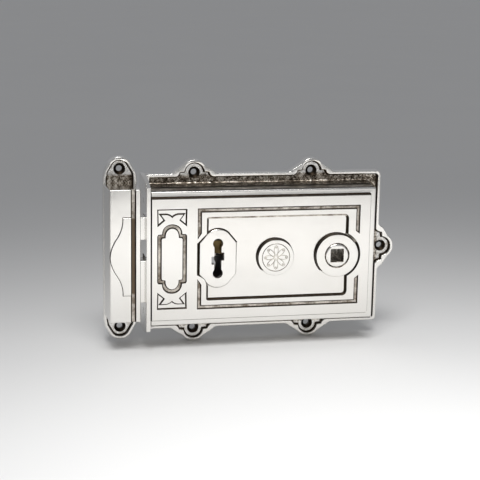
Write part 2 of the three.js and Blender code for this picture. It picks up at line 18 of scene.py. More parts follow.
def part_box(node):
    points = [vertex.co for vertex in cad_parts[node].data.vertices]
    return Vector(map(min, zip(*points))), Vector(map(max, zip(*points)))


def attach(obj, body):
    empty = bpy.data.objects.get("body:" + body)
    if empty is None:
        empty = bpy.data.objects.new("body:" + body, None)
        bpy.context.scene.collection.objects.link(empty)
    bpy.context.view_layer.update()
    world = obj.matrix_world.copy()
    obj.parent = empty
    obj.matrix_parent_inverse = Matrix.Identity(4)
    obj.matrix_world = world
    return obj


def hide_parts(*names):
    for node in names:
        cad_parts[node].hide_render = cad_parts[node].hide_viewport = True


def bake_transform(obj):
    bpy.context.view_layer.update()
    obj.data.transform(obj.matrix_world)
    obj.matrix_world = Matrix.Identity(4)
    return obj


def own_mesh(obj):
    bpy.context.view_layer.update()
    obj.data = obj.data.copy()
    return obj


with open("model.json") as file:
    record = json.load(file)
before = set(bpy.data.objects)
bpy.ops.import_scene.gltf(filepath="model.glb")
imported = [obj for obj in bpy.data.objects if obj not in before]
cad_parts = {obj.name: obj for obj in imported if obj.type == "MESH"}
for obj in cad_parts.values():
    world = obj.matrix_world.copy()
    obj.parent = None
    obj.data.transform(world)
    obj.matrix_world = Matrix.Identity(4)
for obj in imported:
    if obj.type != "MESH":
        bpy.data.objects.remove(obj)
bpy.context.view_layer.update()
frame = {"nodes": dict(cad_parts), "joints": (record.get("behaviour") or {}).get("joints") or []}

bl_info = {
    "name": "Rim Lock",
    "version": (1, 0, 0),
    "blender": (4, 5, 0),
    "location": "View3D > Sidebar > Rim Lock",
    "description": "Builds a cast rim lock, its bolts, its works and its keep",
    "category": "Object",
}

MM = 0.001


def span(node):
    """A frame node's lowest and highest corners in millimetres."""
    low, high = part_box(node)
    return low / MM, high / MM


# ---- Places and sizes, from the frame's boxes ----

CASE_LOW, CASE_HIGH = span("case")
FORE_LOW, FORE_HIGH = span("fore_end")
CAP_LOW, CAP_HIGH = span("back_plate")
HUB_LOW, HUB_HIGH = span("follower")
LATCH_LOW, LATCH_HIGH = span("latch_bolt")
DEAD_LOW, DEAD_HIGH = span("dead_bolt")
KEEP_LOW, KEEP_HIGH = span("keep")
STUMP_LOW, STUMP_HIGH = span("bolt_stump")
LEAF_STOP_LOW, LEAF_STOP_HIGH = span("lever_spring_stop")
SPRING_STOP_LOW = span("latch_spring_stop")[0]

LUG_R = 8.0
LUG_OUT = 0.7  # hole centre beyond the flange's edge
RIGHT_LUG_OUT = 1.9
FLANGE_RIGHT = CASE_HIGH.x - RIGHT_LUG_OUT - LUG_R
FLANGE_TOP = CASE_HIGH.z - LUG_OUT - LUG_R
LOCK_LEFT = FORE_LOW.x
CASE_LEFT = CASE_LOW.x
FACE = 27.0
CASE_RIGHT = FLANGE_RIGHT - 8.6
CASE_TOP = FLANGE_TOP - 7.3
WALL = 3.0
CAVITY_FRONT = FACE - 4.4
FLANGE_FRONT = 6.1
GROUND = 3.7  # sunk ground inside the flange's raised rim
RIM_W = 1.8
FLANGE_CORNER_R = 2.5
BORDER_W = 3.9
# On the case's top wall these bands are painted reflection.
REFLECTED_GROUND_SHARE, REFLECTED_DARK_SHARE, REFLECTED_LIGHT_SHARE = 0.44, 0.62, 0.9  # how far up the outer wall each finish ends
BORDER = FACE - 2.7  # height of the stepped border round the cover
# The seam's dark step is painted shade beside the fore-end.
SEAM = 0.5  # width and depth of the dark step beside the fore-end
PANEL_FLOOR = FACE - 1.8
GROOVE_FLOOR = FACE - 0.8
ESCUTCHEON_TOP = FACE - 0.6
BOSS_TOP = FACE + 1.3

LUGS_X = (-43.3, 30.7)
HOLE_R = 1.85
COUNTERSINK_R = 3.7
KEY_X = -32.1
BOSS_X, BOSS_R = 3.6, 11.4
RING_EDGES = (8.7, 8.4)  # radii of the line cut round the rosette
HUB_X = (HUB_LOW.x + HUB_HIGH.x) / 2
HUB_R, HUB_BOSS_R = 7.4, 13.6
SQUARE_HALF = 4.05  # half width of the spindle's hole
CAP_SCREWS = (60.0, 34.4)  # half distances between the back plate's screws
SHANK_HOLE_R = 1.8  # for the back plate's screws, the rivets and the stump
SCREW_SEAT_R = 3.2
RIVET_Y = -12.0
SPRING_Y, SPRING_Z, SPRING_R = -18.5, 22.4, 2.5
LATCH_HEAD_LOW, LATCH_HEAD_HIGH = 11.8, 25.6
LATCH_HEAD_END = -62.0
BOLT_BACK, BOLT_FRONT = -DEAD_HIGH.y, -DEAD_LOW.y
BOLT_HEAD_END, BOLT_TAIL_START = -58, -69
TAIL = (11.2, 14.6)  # depth of both bolts' tails
TAIL_HIGH = 9.0

KEEP_MID = (KEEP_LOW.z + KEEP_HIGH.z) / 2
KEEP_LOBE_R = 7.6
KEEP_HOLES = [
    ((KEEP_LOW.x + KEEP_HIGH.x) / 2, z)
    for z in (KEEP_HIGH.z - KEEP_LOBE_R, KEEP_LOW.z + KEEP_LOBE_R)
]
KEEP_HALF_H = 40.65
KEEP_WALL = 3.9
KEEP_LEAN = 1.4  # how far its left wall leans in towards the face
KEEP_SWELL_HALF = 23.8  # half height of the swelling over the bolts' path
KEEP_STRIP = 6.3  # plain strip beside the swelling
KEEP_GROOVE = (5.7, 3.0)  # the groove's edges, from the keep's right edge
KEEP_ROOF = 3.6
KEEP_MOUTH_HALF = 34


class RimLockRelief(bpy.types.PropertyGroup):
    """Sizes of the casting's relief."""

    round_over: FloatProperty(
        name="Round Over",
        description="Radius of the polished upper edges",
        default=0.32 * MM,
        unit="LENGTH",
    )
    foot: FloatProperty(
        name="Foot",
        description="Radius of the hollow where a wall meets the surface below it",
        default=0.62 * MM,
        unit="LENGTH",
    )
    ornament_depth: FloatProperty(
        name="Ornament Depth",
        description="Depth of the sunk ornament at the left of the cover",
        default=1.0 * MM,
        unit="LENGTH",
    )
    petals: IntProperty(
        name="Petals",
        description="Number of petals in the middle boss's rosette",
        default=8,
        min=3,
        max=24,
    )
    coils: IntProperty(
        name="Spring Coils",
        description="Number of turns in the latch spring",
        default=7,
        min=3,
        max=16,
    )


class RimLockFinish(bpy.types.PropertyGroup):
    """Colours of the metals."""

    nickel: FloatVectorProperty(
        name="Polished Nickel",
        description="Colour that the polished nickel reflects",
        subtype="COLOR",
        size=4,
        default=(0.86, 0.845, 0.815, 1),
    )
    nickel_warm: FloatVectorProperty(
        name="Warm Nickel",
        description="Colour of the nickel where the plating is warmer",
        subtype="COLOR",
        size=4,
        default=(0.80, 0.77, 0.72, 1),
    )
    # Patina and painted shade: this colour darkens the relief's walls and corners where shade falls, and
    # the darkest sunk ground.
    patina_and_shade: FloatVectorProperty(
        name="Grime",
        description="Colour of the dark left in the relief's corners",
        subtype="COLOR",
        size=4,
        default=(0.035, 0.026, 0.018, 1),
    )
    brass: FloatVectorProperty(
        name="Brass",
        description="Colour of the levers",
        subtype="COLOR",
        size=4,
        default=(0.15, 0.105, 0.046, 1),
    )
    steel: FloatVectorProperty(
        name="Steel",
        description="Colour of the plain steel pieces",
        subtype="COLOR",
        size=4,
        default=(0.46, 0.45, 0.43, 1),
    )


class RimLockStage(bpy.types.PropertyGroup):
    """Floor, light and camera."""

    azimuth: FloatProperty(
        name="Azimuth",
        description="How far round to the left the camera stands",
        default=math.radians(11.96),
        subtype="ANGLE",
    )
    pitch: FloatProperty(
        name="Pitch",
        description="How far down the camera looks",
        default=math.radians(12.52),
        subtype="ANGLE",
    )
    roll: FloatProperty(
        name="Roll",
        description="How far the camera is turned about its own axis",
        default=math.radians(0.985),
        subtype="ANGLE",
    )
    lens: FloatProperty(
        name="Lens",
        description="Focal length on a 36 mm sensor, in millimetres",
        default=95.7,
    )
    key_power: FloatProperty(
        name="Key Power",
        description="Power of the large soft light in front, in watts",
        default=1.7,
        min=0,
    )
    fill_power: FloatProperty(
        name="Fill Power",
        description="Power of the soft light overhead, in watts",
        default=0.3,
        min=0,
    )
    floor_colour: FloatVectorProperty(
        name="Floor",
        description="Colour of the plain floor",
        subtype="COLOR",
        size=4,
        default=(0.74, 0.735, 0.725, 1),
    )


# ---- Outlines: lists of 2D points ----


def point(u, v):
    return Vector((u, v))


def arc(centre, radius, start, end, steps):
    """Points from one angle to another, in degrees."""
    angles = (math.radians(start + (end - start) * i / steps) for i in range(steps + 1))
    return [point(centre[0] + radius * math.cos(a), centre[1] + radius * math.sin(a)) for a in angles]


def bend(start, control, end, steps):
    """Points of a quadratic curve after its start."""
    shares = [i / steps for i in range(1, steps + 1)]
    return [
        start * (1 - t) ** 2 + control * 2 * t * (1 - t) + end * t * t
        for t in shares
    ]


def circle(centre, radius, sides=72):
    return arc(centre, radius, 0, 360, sides)[:-1]


def rectangle(u, v, radius=0.0, steps=4):
    """A rectangle from its two ranges, with round corners where a radius is given."""
    (u0, u1), (v0, v1) = u, v
    if not radius:
        return [point(u0, v0), point(u1, v0), point(u1, v1), point(u0, v1)]
    r = radius
    return [
        *arc((u0 + r, v0 + r), r, 180, 270, steps),
        *arc((u1 - r, v0 + r), r, 270, 360, steps),
        *arc((u1 - r, v1 - r), r, 0, 90, steps),
        *arc((u0 + r, v1 - r), r, 90, 180, steps),
    ]


def flipped(points, about=0.0):
    """The outline mirrored top to bottom."""
    return [point(p.x, 2 * about - p.y) for p in reversed(points)]


def is_anticlockwise(points):
    area = sum(a.x * b.y - b.x * a.y for a, b in zip(points, points[1:] + points[:1]))
    return area > 0


def grown(points, amount):
    """An anticlockwise outline moved outwards, with mitred corners."""
    if not amount:
        return points
    moved = []
    for i, here in enumerate(points):
        into = (here - points[i - 1]).normalized()
        out = (points[(i + 1) % len(points)] - here).normalized()
        mitre = Vector((into.y + out.y, -into.x - out.x))
        moved.append(here + mitre * (2 * amount / max(mitre.length_squared, 0.6)))
    return moved


# ---- Profiles: (growth, height) rings from low to high ----


EDGE_ANGLES = [math.pi / 2 * i / 3 for i in range(4)]


def hollow(growth, height):
    """The rings of a hollow foot, whose radius is the growth's size."""
    size = abs(growth)
    return [(growth * (1 - math.sin(a)), height + size * (1 - math.cos(a))) for a in EDGE_ANGLES]


def rounded(growth, height):
    """The rings of a round edge, whose radius is the growth's size."""
    size = abs(growth)
    return [(growth * (1 - math.cos(a)), height - size * (1 - math.sin(a))) for a in EDGE_ANGLES]


def raised(base, top, round_over=0.32, foot=0.45):
    """A raised shape: it starts inside what it stands on, hollows at its foot and rounds over."""
    return [(foot, base - 0.6), *hollow(foot, base), *rounded(-round_over, top)]


def sunk(floor, surface, round_over=0.32, foot=0.45, patina_and_shade=0.3):
    """The solid that cuts a recess with a ring of patina and painted shade round its floor, a hollow
    foot and a rounded edge.
    """
    rings = [(-foot - patina_and_shade, floor), *hollow(-foot, floor), *rounded(round_over, surface)]
    return [*rings, (round_over, surface + 1.5)]


def slab(low, high, round_over=0.25):
    """A plate rounded over at both ends."""
    return [*hollow(-round_over, low), *rounded(-round_over, high)]


def straight(low, high):
    return [(0, low), (0, high)]


def drafted(base, top, lean=1.3, round_over=0.8):
    """The case's outer wall: it leans in as it rises, in four stages, and rounds over."""
    rise = top - round_over - base
    rings = [(lean + 0.5, base - 0.6), (lean + 0.5, base)]
    for share in (0, REFLECTED_GROUND_SHARE, REFLECTED_DARK_SHARE, REFLECTED_LIGHT_SHARE, 1):
        rings.append((lean * (1 - share), base + 0.4 + (rise - 0.4) * share))
    return [*rings, *rounded(-round_over, top)[1:]]


# Where an outline's two directions and a profile's height lie in the lock's frame
def on_face(u, v, height):
    return Vector((u, -height, v))


def from_edge(u, v, height):
    return Vector((height, u, v))


def from_above(u, v, height):
    return Vector((u, v, height))


# ---- Meshes ----

POLISHED, CREVICE_SHADE, WORN_AND_SHADED, FLANGE_CAST, KEEP_CAST = range(5)
FINISHES = ("polished_nickel", "crevice_nickel", "worn_nickel", "flange_cast_nickel", "keep_cast_nickel")
METALS = {}


def casting_metals():
    return [METALS[name] for name in FINISHES]


def shade_above_left(outward, height):
    """The finish of a raised shape's wall: the sides facing up and left take painted shade, the others
    are polished.
    """
    return CREVICE_SHADE if outward.y - 0.9 * outward.x > -0.1 else POLISHED


def shade_but_above(outward, height):
    """The finish of a sunk shape's wall: its upper side is half clean, and the other sides take patina
    and painted shade.
    """
    return WORN_AND_SHADED if outward.y > 0.5 else CREVICE_SHADE


def plateau_wall(outward, height):
    """The finish of the step up from the border: a painted dark reflection on the side facing up, and
    painted shade only at the foot elsewhere.
    """
    return CREVICE_SHADE if outward.y > 0.5 or height < BORDER + 0.9 else POLISHED


def case_wall(outward, height):
    """The finish of the case's outer wall.

    The top wall carries painted reflection in bands: the cast finish low down, then dark, then the worn
    finish, and dark by the edge. The other walls are polished, with painted shade at their foot.
    """
    share = (height - GROUND) / (BORDER - GROUND)
    if share > 0.96:
        return POLISHED
    if outward.y < 0.5:
        return CREVICE_SHADE if share < 0.1 else POLISHED
    if share < REFLECTED_GROUND_SHARE:
        return FLANGE_CAST
    return WORN_AND_SHADED if REFLECTED_DARK_SHARE < share < REFLECTED_LIGHT_SHARE else CREVICE_SHADE


def piece_of(name, mesh_data, metals):
    mesh = bpy.data.meshes.new(name)
    mesh_data.to_mesh(mesh)
    mesh_data.free()
    for metal in metals:
        mesh.materials.append(metal)
    piece = bpy.data.objects.new(name, mesh)
    bpy.context.scene.collection.objects.link(piece)
    return piece


# Walls default to the crevice finish, which is patina and painted shade.
def shell(name, outlines, profile, place=on_face, walls=CREVICE_SHADE, low=POLISHED, high=POLISHED, edge=None):
    """A closed mesh: each outline carries the profile's rings, and both ends are capped flat.

    The first outline is the outside and the others are holes. The walls have one finish, or a
    function that gives it for an outward direction and a height, and the two ends have their own.
    Edge, where given, is the finish of the last few bands, which round over.
    """
    made = bmesh.new()
    bands = len(profile) - 1
    ends = ([], [])
    for index, outline in enumerate(outlines):
        points = outline if is_anticlockwise(outline) else outline[::-1]
        side = -1 if index else 1
        rings = []
        for growth, height in profile:
            ring = grown(points, side * growth)
            rings.append([made.verts.new(place(p.x, p.y, height) * MM) for p in ring])
        ends[0].append((grown(points, side * profile[0][0]), rings[0]))
        ends[1].append((grown(points, side * profile[-1][0]), rings[-1]))
        for band, (under, over) in enumerate(zip(rings, rings[1:])):
            rounds_over = band >= bands - 4 and profile[band][0] != profile[band + 1][0]
            finish = edge if edge is not None and rounds_over else walls
            height = (profile[band][1] + profile[band + 1][1]) / 2
            for i in range(len(under)):
                j = (i + 1) % len(under)
                face = made.faces.new((under[i], under[j], over[j], over[i]))
                if callable(finish):
                    along = (points[j] - points[i]).normalized()
                    face.material_index = finish(Vector((along.y, -along.x)), height)
                else:
                    face.material_index = finish
    for loops, finish in zip(ends, (low, high)):
        corners = [vertex for _, ring in loops for vertex in ring]
        flat = [[Vector((p.x, p.y, 0)) for p in points] for points, _ in loops]
        for triangle in tessellate_polygon(flat):
            made.faces.new([corners[i] for i in triangle]).material_index = finish
    bmesh.ops.recalc_face_normals(made, faces=made.faces)
    return piece_of(name, made, casting_metals())


def block(x, height, z, radius=0.3, finish=POLISHED):
    """A box with all its edges rounded."""
    profile = slab(*height, radius) if radius else straight(*height)
    return shell("block", [rectangle(x, z, radius)], profile, walls=finish, low=finish, high=finish)


def settle(piece):
    """Turns the piece's modifiers into its mesh."""
    depsgraph = bpy.context.evaluated_depsgraph_get()
    source = piece.evaluated_get(depsgraph)
    mesh = bpy.data.meshes.new_from_object(source, preserve_all_data_layers=True, depsgraph=depsgraph)
    old = piece.data
    piece.modifiers.clear()
    piece.data = mesh
    mesh.name = piece.name
    bpy.data.meshes.remove(old)


def discard(piece):
    mesh = piece.data
    bpy.data.objects.remove(piece)
    bpy.data.meshes.remove(mesh)


def boolean(piece, operation, others):
    for other in others:
        step = piece.modifiers.new(operation.lower(), "BOOLEAN")
        step.operation = operation
        step.solver = "MANIFOLD"
        step.object = other
    settle(piece)
    for other in others:
        discard(other)
    if not piece.data.polygons:
        raise RuntimeError(f"{piece.name} is empty after its {operation.lower()}")
    return piece


def join(piece, *others):
    return boolean(piece, "UNION", others)


def cut(piece, *others):
    return boolean(piece, "DIFFERENCE", others)


def dress(piece, body, slot, *nodes):
    """Smooths the rounded edges, keeps flat faces flat, and gives the piece its place in the frame."""
    piece.data.shade_smooth()
    piece.data.set_sharp_from_angle(angle=math.radians(38))
    weigh = piece.modifiers.new("weigh_normals", "WEIGHTED_NORMAL")
    weigh.keep_sharp = True
    weigh.weight = 80
    settle(piece)
    if body:
        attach(piece, body)
    if nodes:
        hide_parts(*nodes)
    return piece


# ---- Node graphs ----


class Wire:
    """A node's output that Python arithmetic adds Math nodes to."""

    def __init__(self, graph, socket):
        self.graph = graph
        self.socket = socket

    def math(self, operation, *others):
        sockets = dict(enumerate((self, *others)))
        return self.graph.add("ShaderNodeMath", {"operation": operation}, sockets)

    def __add__(self, other):
        return self.math("ADD", other)

    __radd__ = __add__

    def __sub__(self, other):
        return self.math("SUBTRACT", other)

    def __rsub__(self, other):
        return self.graph.add("ShaderNodeMath", {"operation": "SUBTRACT"}, {0: other, 1: self})

    def __mul__(self, other):
        return self.math("MULTIPLY", other)

    __rmul__ = __mul__

    def clamped(self):
        return self.graph.add("ShaderNodeClamp", {}, {"Value": self})

    def size(self):
        return self.math("ABSOLUTE")

    def larger(self, other):
        return self.math("MAXIMUM", other)


class Graph:
    """Nodes of one tree."""

    def __init__(self, tree):
        self.tree = tree
        tree.nodes.clear()

    def add(self, kind, settings=None, sockets=None, output=0):
        """Adds a node: its settings first, then the values or wires of its sockets."""
        node = self.tree.nodes.new(kind)
        for name, value in (settings or {}).items():
            if name == "stops":
                ramp = node.color_ramp
                while len(ramp.elements) < len(value):
                    ramp.elements.new(0.5)
                for element, (place, colour) in zip(ramp.elements, value):
                    element.position = place
                    element.color = colour
            else:
                setattr(node, name, value)
        for name, value in (sockets or {}).items():
            if isinstance(value, Wire):
                self.tree.links.new(value.socket, node.inputs[name])
            else:
                node.inputs[name].default_value = value
        return Wire(self, node.outputs[output]) if len(node.outputs) else None


class Metal(Graph):
    """A material's nodes, with what the metals here share."""

    def __init__(self, name):
        self.name = name
        self.material = bpy.data.materials.new(name)
        self.material.use_nodes = True
        super().__init__(self.material.node_tree)
        self.place = self.add("ShaderNodeTexCoord", output="Object")
        tilt = {"Vector": self.place, "Rotation": (0.6, 0.4, 0.9)}
        self.turned = self.add("ShaderNodeMapping", {}, tilt)

    def noise(self, scale, detail=2.0, place=None, roughness=0.5):
        vector = place or self.turned
        sockets = {"Vector": vector, "Scale": scale, "Detail": detail, "Roughness": roughness}
        return self.add("ShaderNodeTexNoise", {}, sockets)

    def axis(self, name):
        """One coordinate of the place, in metres."""
        parts = self.add("ShaderNodeSeparateXYZ", {}, {"Vector": self.place})
        return Wire(self, parts.socket.node.outputs[name])

    def stretched(self, x, y, z):
        """The place, squeezed so that a pattern runs long in one direction."""
        return self.add("ShaderNodeMapping", {}, {"Vector": self.place, "Scale": (x, y, z)})

    def blend(self, first, second, share):
        sockets = {0: share, 6: first, 7: second}
        return self.add("ShaderNodeMix", {"data_type": "RGBA"}, sockets, output=2)

    def ramp(self, value, stops):
        return self.add("ShaderNodeValToRGB", {"stops": stops}, {"Fac": value})

    def bump(self, height, distance, strength=1.0):
        sockets = {"Height": height, "Distance": distance, "Strength": strength}
        return self.add("ShaderNodeBump", {}, sockets)

    def finish(self, colour, roughness, normal=None, metallic=1.0):
        sockets = {"Base Color": colour, "Roughness": roughness, "Metallic": metallic}
        if normal is not None:
            sockets["Normal"] = normal
        shader = self.add("ShaderNodeBsdfPrincipled", {}, sockets)
        self.add("ShaderNodeOutputMaterial", {}, {"Surface": shader})
        METALS[self.name] = self.material


def polished_nickel(colours):
    """Mirror-like plating with buffing marks, faint waviness and slight changes of warmth."""
    metal = Metal("polished_nickel")
    wide = metal.noise(26, 3)
    marks = metal.noise(1, 4, metal.stretched(90, 700, 1800))
    cross = metal.noise(1, 3, metal.stretched(1500, 500, 120))
    specks = metal.noise(420, 5)
    colour = metal.blend(colours.nickel, colours.nickel_warm, (wide * 1.6 - 0.35).clamped() * 0.7)
    roughness = 0.07 + wide * 0.08 + (marks - 0.45).clamped() * 0.25 + (specks - 0.6).clamped() * 0.5
    height = wide * 1.0 + marks * 0.02 + cross * 0.015
    metal.finish(colour, roughness, metal.bump(height, 0.0006, 0.5))


def crevice_nickel(colours):
    """Walls and corners: patina where the buffing wheel never reached, and painted shade; nearly black,
    with a few painted glints.
    """
    metal = Metal("crevice_nickel")
    patches = metal.noise(260, 4, roughness=0.6)
    # The light patches are painted glints.
    light = ((patches - 0.58).clamped() * 2.0).clamped()
    colour = metal.blend(colours.patina_and_shade, (0.26, 0.21, 0.16, 1), light)
    metal.finish(colour, 0.42 - light * 0.1, metal.bump(patches, 0.0002, 0.6))


def worn_nickel():
    """Groove floors: half polished, with brown left along them, and painted shade by the keep's mouth.
    The same finish paints a lighter band of reflection on the case's top wall.
    """
    metal = Metal("worn_nickel")
    patches = metal.noise(170, 5, roughness=0.65)
    grain = metal.noise(1400, 4)
    x, z = metal.axis("X"), metal.axis("Z")
    # Painted shade by the keep's mouth: darker within the swelling's height and left of the keep's right
    # edge.
    mouth_shade = ((KEEP_SWELL_HALF * MM - (z - KEEP_MID * MM).size()) * 900).clamped()
    mouth_shade = mouth_shade * ((KEEP_HIGH.x * MM - x) * 4000).clamped()
    light = ((patches - 0.36) * 2.8 + (grain - 0.5) * 0.7).clamped() * (1 - mouth_shade)
    light = light + 0.12 - mouth_shade * 0.12
    colour = metal.blend((0.15, 0.11, 0.075, 1), (0.84, 0.79, 0.71, 1), light.clamped())
    metal.finish(colour, 0.40 - light * 0.14, metal.bump(patches + grain, 0.00015, 0.6))


def cast_nickel(name, colours, middle, reach):
    """Sunk ground: the cast skin is dark by the wall, with light speckles that are partly painted
    glints, and the lugs outside are half polished.
    """
    metal = Metal(name)
    pits = metal.noise(340, 5, roughness=0.66)
    grains = metal.noise(1300, 3, roughness=0.6)
    beyond = (metal.axis("Z") - middle * MM).size() - reach * MM
    sideways = metal.axis("X") - (FLANGE_RIGHT - 1.2) * MM
    lug = (beyond.larger(sideways) * 700 + (pits - 0.5) * 1.2).clamped()
    # Light speckles: the cast skin's own mottling, partly painted glints.
    light = ((pits - 0.5) * 3.2 + (grains - 0.5) * 2.6 + 0.56).clamped()
    stops = [
        (0.0, colours.patina_and_shade),
        (0.35, (0.10, 0.08, 0.06, 1)),
        (0.65, (0.40, 0.34, 0.27, 1)),
        (1.0, (0.84, 0.79, 0.71, 1)),
    ]
    clean = metal.blend((0.56, 0.52, 0.46, 1), colours.nickel, (light * 1.4).clamped())
    colour = metal.blend(metal.ramp(light, stops), clean, lug)
    roughness = 0.42 - light * 0.14 - lug * 0.12
    metal.finish(colour, roughness, metal.bump(pits * 0.7 + grains * 0.3, 0.0006, 0.75))


def plain_steel(colours):
    """Bright drawn steel with grinding marks."""
    metal = Metal("ground_steel")
    marks = metal.noise(1, 4, metal.stretched(120, 900, 2200))
    stain = metal.noise(60, 4)
    colour = metal.blend(colours.steel, (0.30, 0.27, 0.24, 1), (stain - 0.45).clamped() * 1.6)
    metal.finish(colour, 0.26 + marks * 0.2, metal.bump(marks, 0.0001, 0.5))


def spring_steel():
    """Blued spring wire and strip."""
    metal = Metal("blued_spring_steel")
    tint = metal.noise(150, 3)
    colour = metal.blend((0.16, 0.17, 0.20, 1), (0.26, 0.23, 0.20, 1), tint)
    metal.finish(colour, 0.24 + tint * 0.15)


def lever_brass(colours):
    """Stamped sheet brass, a little tarnished."""
    metal = Metal("lever_brass")
    tarnish = metal.noise(110, 4)
    marks = metal.noise(1, 3, metal.stretched(1600, 300, 150))
    colour = metal.blend(colours.brass, (0.04, 0.026, 0.012, 1), ((tarnish - 0.4) * 3.5).clamped())
    metal.finish(colour, 0.28 + tarnish * 0.2, metal.bump(marks, 0.0001, 0.4))


def floor_paint(colour):
    """Plain matt floor."""
    paint = Metal("floor_paint")
    mottle = paint.noise(6, 2)
    tone = paint.blend(tuple(colour), tuple(c * 0.97 for c in colour[:3]) + (1,), mottle)
    paint.finish(tone, 0.9, metallic=0.0)


# ---- Case casting ----


def lug_outside(out):
    """One lug's outer edge from its left foot to its right foot: an easy rise, then a round lobe."""
    foot, shoulder = point(-15.2, 0), point(-12.2, out + 1.0)
    lobe = arc((0, out), LUG_R, 146, 34, 28)
    left = [foot, *bend(foot, point(-13.4, 0.2), shoulder, 6)]
    return [*left, *lobe, *[point(-p.x, p.y) for p in reversed(left)]]


def lug_inside(out):
    """The rim's inner edge in a lug: an arch on two small shoulders."""
    foot, shoulder = point(-11.6, -RIM_W), point(-9.0, out + 0.4)
    lobe = arc((0, out), LUG_R - RIM_W, 174, 6, 32)
    left = [foot, *bend(foot, point(-9.6, -RIM_W + 0.4), shoulder, 6), point(-7.0, out + 0.6)]
    return [*left, *lobe, *[point(-p.x, p.y) for p in reversed(left)]]


def flange_outline(lug, inset):
    """The flange with its five lugs, clockwise from the top left corner."""
    upper = [point(x + p.x, FLANGE_TOP + p.y) for x in LUGS_X for p in lug(LUG_OUT)]
    side = [point(FLANGE_RIGHT + p.y, -p.x) for p in lug(RIGHT_LUG_OUT)]
    radius = FLANGE_CORNER_R - inset / 2
    centre = (FLANGE_RIGHT - inset - radius, FLANGE_TOP - inset - radius)
    corner = arc(centre, radius, 90, 0, 8)
    half = [point(CASE_LEFT + inset, FLANGE_TOP - inset), *upper, *corner]
    return [*half, *side, *flipped(half)]


LUG_HOLES = [
    *[(x, z) for x in LUGS_X for z in (FLANGE_TOP + LUG_OUT, -FLANGE_TOP - LUG_OUT)],
    (FLANGE_RIGHT + RIGHT_LUG_OUT, 0),
]


def screw_hole(centre):
    """What a countersunk hole takes away."""
    slope = COUNTERSINK_R - HOLE_R
    seat = GROUND + 0.1
    profile = [(0, -1), (0, seat - slope), (slope, seat), (slope, seat + 3)]
    # The hole's walls take painted shade.
    return shell("hole", [circle(centre, HOLE_R, 48)], profile, walls=CREVICE_SHADE)


def panel_outline():
    """The sunk panel: it steps out to the left round the keyhole and bulges right round the hub."""
    right, left, high = 49.2, -38.9, 25.6
    hub = arc((HUB_X, 0), 14.9, 63, -63, 40)
    upper = [
        *bend(point(left, high - 1.2), point(left, high), point(left + 1.2, high), 4),
        point(right - 2.4, high),
        *bend(point(right - 2.4, high), point(right - 0.4, high - 0.3), point(right, high - 2.6), 5),
        point(right, 14.6),
    ]
    key_side = [
        point(left, -15.9),
        *bend(point(left, -15.9), point(left - 0.4, -12.4), point(-42.4, -10.9), 6),
        point(-44.7, -9.6),
        point(-44.7, 9.8),
        point(left, 15.5),
    ]
    lower = flipped(upper[:-1])
    return [*upper, *hub, *lower, *key_side]


def escutcheon_outline():
    """The raised plate round the keyhole: an arch on shoulders, the same above and below."""
    crown = arc((KEY_X, 8.8), 9.2, 135, 45, 24)
    upper = [point(KEY_X - 11.2, 9.6), *crown, point(KEY_X + 11.2, 9.6)]
    return [*upper, *flipped(upper)]


def keyhole_cuts(low, high, grow=0.0):
    """A keyhole with a round end above and below, and two notches at its middle."""
    slot, notch = 2.1, 2.35
    rim = grow + 0.12
    outlines = [
        circle((KEY_X, 9.2), 3),
        circle((KEY_X, -9.2), 3),
        rectangle((KEY_X - slot, KEY_X + slot), (-9.2, 9.2)),
        rectangle((KEY_X, KEY_X + 3.8), (1.2 - notch, 1.2 + notch), 0.4),
        rectangle((KEY_X - 3.8, KEY_X), (-1.2 - notch, -1.2 + notch), 0.4),
    ]
    profile = [(grow, low), (grow, high - 0.25), (rim, high), (rim, high + 2)]
    return [shell("keyhole", [outline], profile, walls=FLANGE_CAST) for outline in outlines]


def cover_groove():
    """The upper groove beside the panel, turned down at each end."""
    half, left, right, high = 1.1, -43.5, 55.4, 30.0
    return [
        point(left - half, 12.6),
        point(left + half, 16.0),
        point(left + half, high - half),
        point(right - half, high - half),
        point(right - half, 15.2),
        point(right + half, 13.4),
        point(right + half, high + half),
        point(left - half, high + half),
    ]


ORNAMENT_X = -60.2


def tablet_outline(half_width, shoulder, arch_half, arch_top):
    """A tall tablet with an arch at each end, about the ornament's middle."""
    middle = 0.6
    rise = arch_top - shoulder
    dome = [
        point(ORNAMENT_X + arch_half * math.cos(a), middle + shoulder + rise * math.sin(a) ** 0.85)
        for a in (math.pi * i / 24 for i in range(25))
    ]
    upper = [
        point(ORNAMENT_X + half_width, middle + shoulder - 1.1),
        point(ORNAMENT_X + half_width - 0.5, middle + shoulder - 0.2),
        *dome,
        point(ORNAMENT_X - half_width + 0.5, middle + shoulder - 0.2),
        point(ORNAMENT_X - half_width, middle + shoulder - 1.1),
    ]
    return [*upper, *flipped(upper, middle)]


def spandrel_outline():
    """The sunk corner pair over the tablet: a straight head and a leaf-like lower edge."""
    left = [
        point(-8.9, 31.0),
        point(-8.7, 20.9),
        point(-4.5, 24.4),
        point(-7.0, 27.9),
        point(-3.4, 27.9),
    ]
    right = [point(-p.x, p.y) for p in reversed(left)]
    middle = [*bend(left[-1], point(-1.4, 27.6), point(0, 26.1), 3)]
    middle += bend(point(0, 26.1), point(1.4, 27.6), right[0], 3)[:-1]
    return [point(ORNAMENT_X + p.x, p.y) for p in (*left, *middle, *right)]


